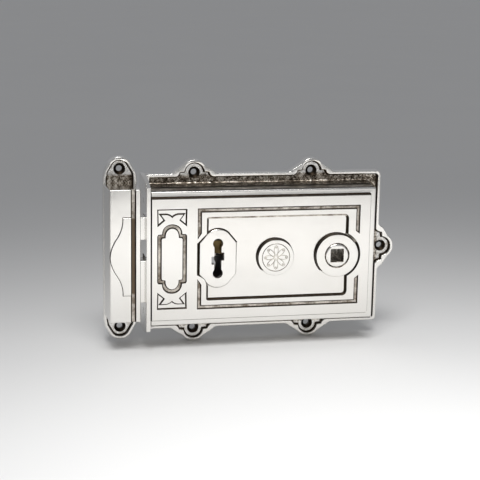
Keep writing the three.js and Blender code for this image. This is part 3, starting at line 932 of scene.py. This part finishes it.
def case_casting(relief):
    """The cover, walls and flange in one casting."""
    edge, foot, depth = relief.round_over / MM, relief.foot / MM, relief.ornament_depth / MM
    past_left = CASE_LEFT - 5
    flange = slab(0, FLANGE_FRONT, 0.4)
    case = shell("case_casting", [flange_outline(lug_outside, 0)], flange, walls=POLISHED)
    cut(
        case,
        shell(
            "ground",
            [flange_outline(lug_inside, RIM_W)],
            sunk(GROUND, FLANGE_FRONT, 0.4, 0.5, 0.35),
            low=FLANGE_CAST,
            edge=POLISHED,
        ),
    )
    walls = rectangle((past_left, CASE_RIGHT), (-CASE_TOP, CASE_TOP), 1.0)
    face_high = CASE_TOP - BORDER_W
    plateau = rectangle((past_left, CASE_RIGHT - BORDER_W), (-face_high, face_high), 0.5)
    join(
        case,
        shell("walls", [walls], drafted(GROUND, BORDER), walls=case_wall),
        shell("plateau", [plateau], raised(BORDER, FACE, edge, foot * 1.4), walls=plateau_wall),
    )
    groove = cover_groove()
    spandrel = spandrel_outline()
    tablet = [tablet_outline(8.8, 15.2, 5.9, 21.2), tablet_outline(6.5, 13.2, 4.2, 18.9)]
    ornament = sunk(FACE - depth, FACE, edge * 0.7, 0.5, 0.12)
    cut(
        case,
        shell(
            "panel",
            [panel_outline()],
            sunk(PANEL_FLOOR, FACE, edge, foot, 0.45),
            walls=shade_but_above,
        ),
        # Grooves, spandrels and the tablet keep the default crevice finish on their walls: painted
        # shade.
        *[
            shell("groove", [outline], sunk(GROOVE_FLOOR, FACE, edge * 0.7, 0.35, 0.12), low=WORN_AND_SHADED)
            for outline in (groove, flipped(groove))
        ],
        *[shell("spandrel", [outline], ornament) for outline in (spandrel, flipped(spandrel, 0.3))],
        shell("tablet", tablet, sunk(FACE - depth, FACE, edge * 0.7, 0.4, 0.1), low=WORN_AND_SHADED),
    )
    boss = raised(PANEL_FLOOR, BOSS_TOP, 0.5, 0.5)
    ring = [(0, BOSS_TOP - 0.3), (0.12, BOSS_TOP), (0.12, BOSS_TOP + 1)]
    # The escutcheon's and the bosses' walls take painted shade on their sides facing up and left.
    join(
        case,
        shell(
            "escutcheon",
            [escutcheon_outline()],
            raised(PANEL_FLOOR, ESCUTCHEON_TOP, edge, foot * 1.3),
            walls=shade_above_left,
            edge=POLISHED,
        ),
        shell("centre_boss", [circle((BOSS_X, 0), BOSS_R, 96)], boss, walls=shade_above_left),
        shell("hub_boss", [circle((HUB_X, 0), HUB_BOSS_R, 96)], boss, walls=shade_above_left),
    )
    ring_edges = [circle((BOSS_X, 0), radius, 96) for radius in RING_EDGES]
    cut(case, shell("ring", ring_edges, ring, low=WORN_AND_SHADED))
    inner = CASE_TOP - WALL
    cut(
        case,
        shell(
            "cavity",
            [rectangle((past_left - 1, CASE_RIGHT - WALL), (-inner, inner), 1.2)],
            straight(-1, CAVITY_FRONT),
            walls=FLANGE_CAST,
            high=FLANGE_CAST,
        ),
        *[screw_hole(hole) for hole in LUG_HOLES],
        *keyhole_cuts(CAVITY_FRONT - 2, ESCUTCHEON_TOP),
        shell(
            "hub_hole",
            [circle((HUB_X, 0), HUB_R + 0.3)],
            [(0, 20), (0, BOSS_TOP - 0.25), (0.25, BOSS_TOP), (0.25, BOSS_TOP + 2)],
            walls=FLANGE_CAST,
        ),
        block((past_left - 5, CASE_LEFT), (-2, FACE + 3), (-70, 70), 0),
        # The seam step beside the fore-end is darkened as painted shade.
        block((past_left - 5, CASE_LEFT + SEAM), (BORDER - SEAM, FACE + 3), (-70, 70), 0, CREVICE_SHADE),
    )
    blocks = [
        block(x, (2.8, CAVITY_FRONT + 0.6), z, 0, FLANGE_CAST)
        for x in ((CASE_LEFT + 0.5, -53.2), (54.6, CASE_RIGHT - WALL + 1))
        for z in ((30.4, inner + 1), (-inner - 1, -30.4))
    ]
    join(case, *blocks)
    return case


# ---- Plates ----


def fore_end_outline():
    """The fore-end from the side, as depth and height: rounded in front, lapping back at the door."""
    front, back = FORE_LOW.y, FORE_HIGH.y
    top = FORE_HIGH.z
    upper = [
        point(front, top - 4.2),
        *bend(point(front, top - 4.2), point(-17, top - 0.2), point(-4, top), 12),
        point(back - 3.5, top),
        *bend(point(back - 3.5, top), point(back, top), point(back, top - 3.4), 8),
    ]
    return [*upper, *flipped(upper)]


def fore_end_plate():
    """The plate on the lock's edge, with openings for both bolts."""
    gap = 0.3
    deep = (DEAD_LOW.y - gap, DEAD_HIGH.y + gap)
    latch = rectangle(deep, (LATCH_HEAD_LOW - gap, LATCH_HEAD_HIGH + gap), 0.3)
    bolt = rectangle(deep, (DEAD_LOW.z - gap, 1.2), 0.3)
    rivets = [circle((RIVET_Y, z), SHANK_HOLE_R, 32) for z in (CAP_SCREWS[1], -CAP_SCREWS[1])]
    outlines = [fore_end_outline(), latch, bolt, *rivets]
    profile = slab(FORE_LOW.x, FORE_HIGH.x, 0.3)
    plate = shell("fore_end_plate", outlines, profile, from_edge, walls=POLISHED)
    lap = rectangle((FORE_HIGH.x - 0.2, FORE_HIGH.x + 1), (-55, 55))
    return cut(plate, shell("lap", [lap], straight(-9, 0), walls=POLISHED))


def back_cap():
    """The plate that closes the case against the door."""
    outline = rectangle((CAP_LOW.x, CAP_HIGH.x), (CAP_LOW.z, CAP_HIGH.z), 1.5)
    hub = circle((HUB_X, 0), HUB_R + 0.3)
    cap = shell("back_cap", [outline, hub], slab(0, 2.5, 0.3), walls=POLISHED)
    across, up = CAP_SCREWS
    widening = SCREW_SEAT_R - SHANK_HOLE_R
    sink = [(0, -1), (widening, -1), (widening, 0.3), (0, 1.7), (0, 4)]
    holes = [
        # The seats' walls take painted shade.
        shell("screw_seat", [circle((x, z), SHANK_HOLE_R, 48)], sink, walls=CREVICE_SHADE)
        for x in (-across, across)
        for z in (-up, up)
    ]
    return cut(cap, *holes, *keyhole_cuts(-2, 5, 0.3))


# ---- Keep ----


def keep_outline(inset):
    """An upright plate with a round lobe at each end."""
    middle = KEEP_HOLES[0][0]
    half = (KEEP_HIGH.x - KEEP_LOW.x) / 2 - inset
    lobe_z = KEEP_HOLES[0][1]
    lobe = arc((middle, lobe_z), KEEP_LOBE_R - inset, 30, 150, 28)
    foot = point(middle + half, KEEP_MID + 44)
    shoulder = point(middle + half - 0.7, lobe_z - 1.5)
    upper = [
        foot,
        *bend(foot, point(foot.x, lobe_z - 2.5), shoulder, 4),
        *lobe,
        point(2 * middle - shoulder.x, shoulder.y),
        point(middle - half, foot.y),
    ]
    return [*upper, *flipped(upper, KEEP_MID)]


def keep_swelling():
    """The swelling on the keep's face over the path of the bolts."""
    edge = KEEP_HIGH.x - KEEP_STRIP
    neck, hip, belly = point(edge - 4.3, KEEP_SWELL_HALF), point(edge - 7.8, 11.5), point(edge - 11.9, 0)
    upper = [
        point(edge + 1, KEEP_SWELL_HALF),
        neck,
        *bend(neck, point(edge - 4.1, 17), hip, 10),
        *bend(hip, point(belly.x, 5.5), belly, 10),
    ]
    outline = [*upper, *flipped(upper[:-1])]
    return [point(p.x, p.y + KEEP_MID) for p in outline]


def keep_casting(relief):
    """The box that both bolts enter, with a screw lug above and below."""
    edge = relief.round_over / MM
    foot = shell("keep_casting", [keep_outline(0)], slab(0, FLANGE_FRONT, 0.4), walls=POLISHED)
    ground = sunk(GROUND, FLANGE_FRONT, 0.4, 0.5, 0.35)
    cut(foot, shell("ground", [keep_outline(RIM_W)], ground, low=KEEP_CAST, edge=POLISHED))
    left, right = KEEP_LOW.x, KEEP_HIGH.x
    section = [
        point(left, 0),
        point(right, 0),
        *arc((right - 0.9, -FACE + 0.9), 0.9, 0, -90, 5),
        *arc((left + KEEP_LEAN + 1.1, -FACE + 1.1), 1.1, -90, -176, 6),
    ]
    top, bottom = KEEP_MID + KEEP_HALF_H, KEEP_MID - KEEP_HALF_H
    box = shell("box", [section], slab(bottom, top, 0.5), from_above, walls=POLISHED)
    # The swelling's walls keep the default crevice finish of painted shade.
    swelling = shell("swelling", [keep_swelling()], raised(FACE, FACE + 0.8, 0.3, 0.35), edge=POLISHED)
    join(foot, box, swelling)
    groove = rectangle([right - inset for inset in KEEP_GROOVE], (bottom - 3, top + 3))
    opening = (KEEP_MID - KEEP_MOUTH_HALF, KEEP_MID + KEEP_MOUTH_HALF)
    mouth = rectangle((left + KEEP_WALL, right + 3), opening, 0.8)
    return cut(
        foot,
        shell("groove", [groove], sunk(FACE - 1.2, FACE, 0.3, 0.35, 0.15), low=WORN_AND_SHADED),
        shell("mouth", [mouth], straight(-1, FACE - KEEP_ROOF), walls=KEEP_CAST, high=KEEP_CAST),
        *[screw_hole(hole) for hole in KEEP_HOLES],
    )


# ---- Follower and bolts ----


def follower():
    """The turned hub with its square hole, and the two horns that draw the latch."""
    hub = [
        (-0.2, 0.3),
        (0, 0.5),
        (0, 3.1),
        (1.6, 3.1),
        (1.6, CAVITY_FRONT - 0.3),
        (0, CAVITY_FRONT - 0.3),
        (0, FACE + 0.6),
        (-0.15, FACE + 1.0),
        (-0.5, FACE + 1.3),
        (-0.95, FACE + 1.4),
    ]
    turned = shell("follower_hub", [circle((HUB_X, 0), HUB_R, 96)], hub, walls=POLISHED)
    horns = [
        block((HUB_X - 2.5, HUB_X + 2.5), (TAIL[0] + 0.2, TAIL[1] - 0.2), z, 0.4)
        for z in ((4, 15), (-15, -4))
    ]
    join(turned, *horns)
    square = rectangle((HUB_X - SQUARE_HALF, HUB_X + SQUARE_HALF), (-SQUARE_HALF, SQUARE_HALF), 0.25)
    hole = [(0, -2), (0, FACE + 1.2), (0.3, FACE + 1.5), (0.3, FACE + 4)]
    return cut(turned, shell("square", [square], hole, walls=FLANGE_CAST))


def spring_latch():
    """The latch's bevelled head, and the tail whose yoke the follower draws back."""
    head_height = (LATCH_HEAD_LOW, LATCH_HEAD_HIGH)
    latch = block((LATCH_LOW.x, LATCH_HEAD_END), (BOLT_BACK, BOLT_FRONT), head_height, 0.35)
    latch.name = "spring_latch_bolt"
    bevel = [
        point(LATCH_LOW.x - 1, -BOLT_FRONT + 3),
        point(LATCH_LOW.x + 10, -BOLT_BACK + 1),
        point(LATCH_LOW.x - 1, -BOLT_BACK + 1),
    ]
    slope = shell("bevel", [bevel], straight(LATCH_HEAD_LOW - 1, LATCH_HEAD_HIGH + 1), from_above)
    cut(latch, slope)
    arm_low, arm_high = 16.5, LATCH_HIGH.z
    yoke, hook = (12.0, 17.3), (HUB_X + 3.3, LATCH_HIGH.x)
    parts = [
        block((LATCH_HEAD_END - 2, yoke[1]), TAIL, (13, arm_high), 0.2),
        block(yoke, TAIL, (-arm_high, arm_high), 0.2),
    ]
    for side in (1, -1):
        for x, z in (((yoke[0], hook[1]), (arm_low, arm_high)), (hook, (10, arm_high))):
            parts.append(block(x, TAIL, tuple(sorted(side * value for value in z)), 0.2))
    return join(latch, *parts)


def key_bolt():
    """The dead bolt's thick head and its tail, with the notch that the key turns in."""
    bolt = block((DEAD_LOW.x, BOLT_HEAD_END), (BOLT_BACK, BOLT_FRONT), (DEAD_LOW.z, -1.2), 0.35)
    bolt.name = "key_bolt"
    join(
        bolt,
        block((BOLT_TAIL_START, DEAD_HIGH.x), TAIL, (-1, TAIL_HIGH), 0.2),
        block((BOLT_TAIL_START, -55), TAIL, (-20, TAIL_HIGH), 0.2),
    )
    (guide_x, guide_z), half = (-52.0, 4.5), 2.3
    throw = FORE_LOW.x - DEAD_LOW.x
    along = (guide_x - throw - half, guide_x + half)
    slot = rectangle(along, (guide_z - half, guide_z + half), half - 0.01, 8)
    stump = (STUMP_LOW + STUMP_HIGH) / 2
    through = straight(TAIL[0] - 1, TAIL[1] + 1)
    return cut(
        bolt,
        block((-42.4, -34.4), (TAIL[0] - 1, TAIL[1] + 1), (-2, 3.8), 0.3),
        shell("slot", [slot], through),
        shell("stump_hole", [circle((stump.x, stump.z), SHANK_HOLE_R, 32)], through),
    )


def leaf_spring(number):
    """A lever's bent strip, from over the pivot eye to the stop that it bears up on."""
    low, high = span(f"lever_spring_{number}")
    thick = 0.4
    stop = (LEAF_STOP_LOW.x + LEAF_STOP_HIGH.x) / 2
    root, tip = low.z + 1.2, LEAF_STOP_LOW.z - 0.1
    start, middle, end = point(high.x, root), point(-8, root + 0.3), point(stop + 2, tip)
    along = [start, *bend(start, (start + middle) / 2, middle, 6)]
    along += bend(middle, point(-21, root + 0.6), end, 16)
    along.append(point(stop - 0.2, tip))
    under = [point(p.x, p.y - thick) for p in reversed(along)]
    strip = [*along, *under]
    return shell(f"leaf_spring_{number}", [strip], straight(-high.y, -low.y), walls=POLISHED)


# ---- Geometry node trees ----


class Repeat(Graph):
    """A geometry tree with named inputs, which ends in real meshes of one metal."""

    def __init__(self, name, inputs):
        tree = bpy.data.node_groups.new(name, "GeometryNodeTree")
        super().__init__(tree)
        self.names = {}
        for label, kind in {**inputs, "Metal": "Material"}.items():
            facts = {"in_out": "INPUT", "socket_type": "NodeSocket" + kind}
            self.names[label] = tree.interface.new_socket(label, **facts).identifier
        tree.interface.new_socket("Mesh", in_out="OUTPUT", socket_type="NodeSocketGeometry")
        self.source = tree.nodes.new("NodeGroupInput")

    def given(self, label):
        return Wire(self, self.source.outputs[label])

    def vector(self, x=0.0, y=0.0, z=0.0):
        return self.add("ShaderNodeCombineXYZ", {}, {0: x, 1: y, 2: z})

    def finish(self, geometry):
        real = self.add("GeometryNodeRealizeInstances", {}, {0: geometry})
        sockets = {"Geometry": real, "Material": self.given("Metal")}
        self.add("NodeGroupOutput", {}, {0: self.add("GeometryNodeSetMaterial", {}, sockets)})

    def run(self, name, values):
        """One new piece made by the tree with these input values."""
        piece = bpy.data.objects.new(name, bpy.data.meshes.new(name))
        bpy.context.scene.collection.objects.link(piece)
        modifier = piece.modifiers.new("make", "NODES")
        modifier.node_group = self.tree
        for label, value in values.items():
            modifier[self.names[label]] = value
        settle(piece)
        if not piece.data.polygons:
            raise RuntimeError(f"{name} came out empty")
        return piece


def fixings_tree():
    """Copies of one fixing on a grid that stands in the door's plane."""
    inputs = {"Fixing": "Object", "Across": "Int", "Up": "Int", "Width": "Float", "Height": "Float"}
    tree = Repeat("fixings_on_a_grid", inputs)
    sizes = {
        "Size X": tree.given("Width"),
        "Size Y": tree.given("Height"),
        "Vertices X": tree.given("Across"),
        "Vertices Y": tree.given("Up"),
    }
    grid = tree.add("GeometryNodeMeshGrid", {}, sizes)
    upright = tree.add(
        "GeometryNodeTransform", {}, {"Geometry": grid, "Rotation": (math.pi / 2, 0, 0)}
    )
    one = tree.add("GeometryNodeObjectInfo", {}, {"Object": tree.given("Fixing")}, output=4)
    tree.finish(tree.add("GeometryNodeInstanceOnPoints", {}, {"Points": upright, "Instance": one}))
    return tree


def spring_tree():
    """A coil of round wire whose axis lies along the bolt."""
    inputs = {
        "Turns": "Float",
        "Coil Radius": "Float",
        "Wire Radius": "Float",
        "Length": "Float",
        "Start": "Vector",
    }
    tree = Repeat("coil_of_wire", inputs)
    coil = {
        "Resolution": 28,
        "Rotations": tree.given("Turns"),
        "Start Radius": tree.given("Coil Radius"),
        "End Radius": tree.given("Coil Radius"),
        "Height": tree.given("Length"),
    }
    spiral = tree.add("GeometryNodeCurveSpiral", {}, coil)
    lying = {"Geometry": spiral, "Translation": tree.given("Start"), "Rotation": (0, math.pi / 2, 0)}
    placed = tree.add("GeometryNodeTransform", {}, lying)
    wire = tree.add(
        "GeometryNodeCurvePrimitiveCircle",
        {"mode": "RADIUS"},
        {"Resolution": 12, "Radius": tree.given("Wire Radius")},
    )
    sockets = {"Curve": placed, "Profile Curve": wire, "Fill Caps": True}
    tree.finish(tree.add("GeometryNodeCurveToMesh", {}, sockets))
    return tree


def rosette_tree():
    """Fine petal lines round a circle, standing in the door's plane."""
    inputs = {"Petals": "Int", "Reach": "Float", "Line": "Float", "Middle": "Vector"}
    tree = Repeat("petal_lines", inputs)
    petal = tree.add(
        "GeometryNodeCurvePrimitiveCircle", {"mode": "RADIUS"}, {"Resolution": 28, "Radius": 1.0}
    )
    reach = tree.given("Reach")
    sockets = {
        "Geometry": petal,
        "Translation": tree.vector(reach * 0.6),
        "Scale": tree.vector(reach * 0.4, reach * 0.17, 1.0),
    }
    leaf = tree.add("GeometryNodeTransform", {}, sockets)
    tip = tree.add(
        "GeometryNodeCurvePrimitiveCircle",
        {"mode": "RADIUS"},
        {"Resolution": 16, "Radius": reach * 0.055},
    )
    turned = math.pi / 2
    count = tree.given("Petals")
    points = tree.add("GeometryNodePoints", {}, {"Count": count})
    index = tree.add("GeometryNodeInputIndex")
    step = tree.add("ShaderNodeMath", {"operation": "DIVIDE"}, {0: 2 * math.pi, 1: count})
    spin = tree.vector(0.0, 0.0, index * step + turned)
    bead = tree.add(
        "GeometryNodeTransform", {}, {"Geometry": tip, "Translation": tree.vector(reach * 0.84)}
    )
    pair = tree.add("GeometryNodeJoinGeometry", {}, {0: leaf})
    tree.tree.links.new(bead.socket, pair.socket.node.inputs[0])
    sockets = {"Points": points, "Instance": pair, "Rotation": spin}
    ring = tree.add("GeometryNodeInstanceOnPoints", {}, sockets)
    centre = tree.add(
        "GeometryNodeCurvePrimitiveCircle",
        {"mode": "RADIUS"},
        {"Resolution": 32, "Radius": reach * 0.13},
    )
    every = tree.add("GeometryNodeJoinGeometry", {}, {0: ring})
    tree.tree.links.new(centre.socket, every.socket.node.inputs[0])
    real = tree.add("GeometryNodeRealizeInstances", {}, {0: every})
    stood = {"Geometry": real, "Rotation": (math.pi / 2, 0, 0), "Translation": tree.given("Middle")}
    placed = tree.add("GeometryNodeTransform", {}, stood)
    line = tree.add(
        "GeometryNodeCurvePrimitiveCircle",
        {"mode": "RADIUS"},
        {"Resolution": 6, "Radius": tree.given("Line")},
    )
    tree.finish(tree.add("GeometryNodeCurveToMesh", {}, {"Curve": placed, "Profile Curve": line}))
    return tree


# ---- Operators: one for each piece or group of like pieces, and one for the stage ----


class RIMLOCK_OT_metals(bpy.types.Operator):
    """Make the metals and give them to the frame's own nodes"""

    bl_idname = "rim_lock.metals"
    bl_label = "Metals"

    def execute(self, context):
        colours = context.scene.rim_lock_finish
        polished_nickel(colours)
        crevice_nickel(colours)
        worn_nickel()
        cast_nickel("flange_cast_nickel", colours, 0, FLANGE_TOP - 1.4)
        cast_nickel("keep_cast_nickel", colours, KEEP_MID, KEEP_HALF_H + 4.5)
        plain_steel(colours)
        spring_steel()
        lever_brass(colours)
        for name, node in frame["nodes"].items():
            is_lever = name in ("lever_1", "lever_2", "lever_3")
            node.data.materials.clear()
            node.data.materials.append(METALS["lever_brass" if is_lever else "ground_steel"])
        return {"FINISHED"}


class RIMLOCK_OT_case(bpy.types.Operator):
    """Cast the case"""

    bl_idname = "rim_lock.case"
    bl_label = "Case"

    def execute(self, context):
        dress(case_casting(context.scene.rim_lock_relief), "lock_case", "polished_nickel", "case")
        return {"FINISHED"}


class RIMLOCK_OT_plates(bpy.types.Operator):
    """Make the fore-end and the back plate"""

    bl_idname = "rim_lock.plates"
    bl_label = "Plates"

    def execute(self, context):
        dress(fore_end_plate(), "lock_case", "polished_nickel", "fore_end")
        cap = back_cap()
        cap.data.materials[POLISHED] = METALS["ground_steel"]
        dress(cap, "lock_case", "plain_steel", "back_plate")
        return {"FINISHED"}


class RIMLOCK_OT_keep(bpy.types.Operator):
    """Cast the keep"""

    bl_idname = "rim_lock.keep"
    bl_label = "Keep"

    def execute(self, context):
        dress(keep_casting(context.scene.rim_lock_relief), "lock_case", "polished_nickel", "keep")
        return {"FINISHED"}


class RIMLOCK_OT_bolts(bpy.types.Operator):
    """Make the follower, the spring latch and the dead bolt"""

    bl_idname = "rim_lock.bolts"
    bl_label = "Follower and Bolts"

    def execute(self, context):
        dress(follower(), "follower", "polished_nickel", "follower")
        dress(spring_latch(), "latch", "polished_nickel", "latch_bolt")
        dress(key_bolt(), "dead_bolt", "polished_nickel", "dead_bolt")
        return {"FINISHED"}


class RIMLOCK_OT_fixings(bpy.types.Operator):
    """Set the back plate's slotted screws and the fore-end's rivets"""

    bl_idname = "rim_lock.fixings"
    bl_label = "Screws and Rivets"

    def execute(self, context):
        tree = fixings_tree()
        across, up = CAP_SCREWS
        head = [(-0.25, 0.2), (-0.05, 0.28), (0, 0.45), (-1.4, 1.6), (-1.4, 13.3), (-1.6, 13.5)]
        screw = shell("screw", [circle((0, 0), 2.9, 40)], head, walls=POLISHED)
        slot = block((-4, 4), (-1, 0.85), (-0.35, 0.35), 0)
        cut(screw, slot)
        values = {"Fixing": screw, "Across": 2, "Up": 2, "Width": 2 * across * MM, "Height": 2 * up * MM}
        screws = tree.run("back_cap_screws", {**values, "Metal": METALS["ground_steel"]})
        discard(screw)
        sides, ends = ("left", "right"), ("top", "bottom")
        nodes = [f"plate_screw_{side}_{end}" for side in sides for end in ends]
        dress(screws, "lock_case", "plain_steel", *nodes)
        end = slab(LOCK_LEFT - 0.05, CASE_LEFT + 7.5, 0.15)
        rivet = shell("rivet", [circle((RIVET_Y, 0), 1.72, 40)], end, from_edge)
        values = {"Fixing": rivet, "Across": 1, "Up": 2, "Width": 0.0, "Height": 2 * up * MM}
        rivets = tree.run("fore_end_rivets", {**values, "Metal": METALS["polished_nickel"]})
        discard(rivet)
        dress(rivets, "lock_case", "polished_nickel", "fore_end_rivet_top", "fore_end_rivet_bottom")
        return {"FINISHED"}


class RIMLOCK_OT_latch_spring(bpy.types.Operator):
    """Wind the latch spring"""

    bl_idname = "rim_lock.latch_spring"
    bl_label = "Latch Spring"

    def execute(self, context):
        start, end = LATCH_HEAD_END + 0.6, SPRING_STOP_LOW.x - 0.6
        values = {
            "Turns": float(context.scene.rim_lock_relief.coils),
            "Coil Radius": SPRING_R * MM,
            "Wire Radius": 0.45 * MM,
            "Length": (end - start) * MM,
            "Start": Vector((start, SPRING_Y, SPRING_Z)) * MM,
            "Metal": METALS["blued_spring_steel"],
        }
        spring = spring_tree().run("latch_coil_spring", values)
        dress(spring, "lock_case", "spring_steel", "latch_spring")
        anchor = SPRING_STOP_LOW.x
        travel = next(j for j in frame["joints"] if j["name"] == "latch_slide")["range_m"][1] / MM
        keep = 1 - travel / (anchor - LATCH_HEAD_END)
        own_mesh(spring)
        return {"FINISHED"}


class RIMLOCK_OT_leaf_springs(bpy.types.Operator):
    """Bend the lever springs"""

    bl_idname = "rim_lock.leaf_springs"
    bl_label = "Lever Springs"

    def execute(self, context):
        for number in (1, 2, 3):
            spring = leaf_spring(number)
            spring.data.materials.clear()
            spring.data.materials.append(METALS["blued_spring_steel"])
            dress(spring, None, "spring_steel", f"lever_spring_{number}")
            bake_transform(spring)
        return {"FINISHED"}


class RIMLOCK_OT_rosette(bpy.types.Operator):
    """Engrave the rosette on the middle boss"""

    bl_idname = "rim_lock.rosette"
    bl_label = "Rosette"

    def execute(self, context):
        values = {
            "Petals": context.scene.rim_lock_relief.petals,
            "Reach": 7.4 * MM,
            "Line": 0.2 * MM,
            "Middle": Vector((BOSS_X, -BOSS_TOP, 0)) * MM,
            "Metal": METALS["worn_nickel"],
        }
        dress(rosette_tree().run("boss_rosette", values), "lock_case", "polished_nickel")
        return {"FINISHED"}


FLOOR_REACH = 14000
CAMERA_PLACE = (-0.1750, -0.7646, 0.1787)
KEY_PLACE, KEY_TARGET = (-0.05, -0.55, 0.72), (0.06, -0.30, -0.06)
KEY_SPREAD = 62  # degrees


def aim(thing, place, target):
    """Puts a light or camera at a place, facing a target."""
    thing.location = place
    thing.rotation_euler = (Vector(target) - Vector(place)).to_track_quat("-Z", "Y").to_euler()


def soft_light(name, place, target, size, power, spread=180):
    lamp = bpy.data.lights.new(name, "AREA")
    lamp.spread = math.radians(spread)
    lamp.shape = "RECTANGLE"
    lamp.size, lamp.size_y = size
    lamp.energy = power
    lamp_object = bpy.data.objects.new(name, lamp)
    bpy.context.scene.collection.objects.link(lamp_object)
    aim(lamp_object, place, target)


class RIMLOCK_OT_stage(bpy.types.Operator):
    """Set the floor, the lights and the camera"""

    bl_idname = "rim_lock.stage"
    bl_label = "Stage"

    def execute(self, context):
        scene = context.scene
        settings = scene.rim_lock_stage
        floor_paint(settings.floor_colour)
        side = (-FLOOR_REACH, FLOOR_REACH)
        ground = CASE_LOW.z - 0.2
        profile = straight(ground - 10, ground)
        floor = shell("floor", [rectangle(side, side)], profile, from_above)
        floor.data.materials.clear()
        floor.data.materials.append(METALS["floor_paint"])
        world = scene.world or bpy.data.worlds.new("world")
        scene.world = world
        world.use_nodes = True
        background = world.node_tree.nodes["Background"].inputs
        background["Color"].default_value = (0.5, 0.51, 0.53, 1)
        background["Strength"].default_value = 0.66
        soft_light("key", KEY_PLACE, KEY_TARGET, (0.6, 0.4), settings.key_power, KEY_SPREAD)
        soft_light("overhead", (-0.5, 0.3, 1.3), (0, 0, 0), (0.6, 0.6), settings.fill_power)
        lens = bpy.data.cameras.new("camera")
        lens.lens = settings.lens
        lens.clip_start, lens.clip_end = 0.01, 50
        camera = bpy.data.objects.new("camera", lens)
        scene.collection.objects.link(camera)
        turn = (
            Matrix.Rotation(-settings.azimuth, 4, "Z")
            @ Matrix.Rotation(math.pi / 2 - settings.pitch, 4, "X")
            @ Matrix.Rotation(settings.roll, 4, "Z")
        )
        camera.matrix_world = Matrix.Translation(CAMERA_PLACE) @ turn
        scene.camera = camera
        scene.view_settings.view_transform = "Standard"
        return {"FINISHED"}


class RIMLOCK_PT_panel(bpy.types.Panel):
    """Lists the lock's settings and the operators that make it"""

    bl_idname = "RIMLOCK_PT_panel"
    bl_label = "Rim Lock"
    bl_space_type = "VIEW_3D"
    bl_region_type = "UI"
    bl_category = "Rim Lock"

    def draw(self, context):
        for group in ("rim_lock_relief", "rim_lock_finish", "rim_lock_stage"):
            settings = getattr(context.scene, group)
            column = self.layout.column(align=True)
            for name in settings.__annotations__:
                column.prop(settings, name)
        for operator in OPERATORS:
            self.layout.operator(operator.bl_idname)


GROUPS = {
    "rim_lock_relief": RimLockRelief,
    "rim_lock_finish": RimLockFinish,
    "rim_lock_stage": RimLockStage,
}
OPERATORS = (
    RIMLOCK_OT_metals,
    RIMLOCK_OT_case,
    RIMLOCK_OT_plates,
    RIMLOCK_OT_keep,
    RIMLOCK_OT_bolts,
    RIMLOCK_OT_fixings,
    RIMLOCK_OT_latch_spring,
    RIMLOCK_OT_leaf_springs,
    RIMLOCK_OT_rosette,
    RIMLOCK_OT_stage,
)
CLASSES = (*GROUPS.values(), *OPERATORS, RIMLOCK_PT_panel)


def register():
    for item in CLASSES:
        bpy.utils.register_class(item)
    for name, group in GROUPS.items():
        setattr(bpy.types.Scene, name, PointerProperty(type=group))


def unregister():
    for name in GROUPS:
        delattr(bpy.types.Scene, name)
    for item in reversed(CLASSES):
        bpy.utils.unregister_class(item)


def main():
    register()
    for operator in OPERATORS:
        family, name = operator.bl_idname.split(".")
        getattr(getattr(bpy.ops, family), name)()


if __name__ == "__main__":
    main()
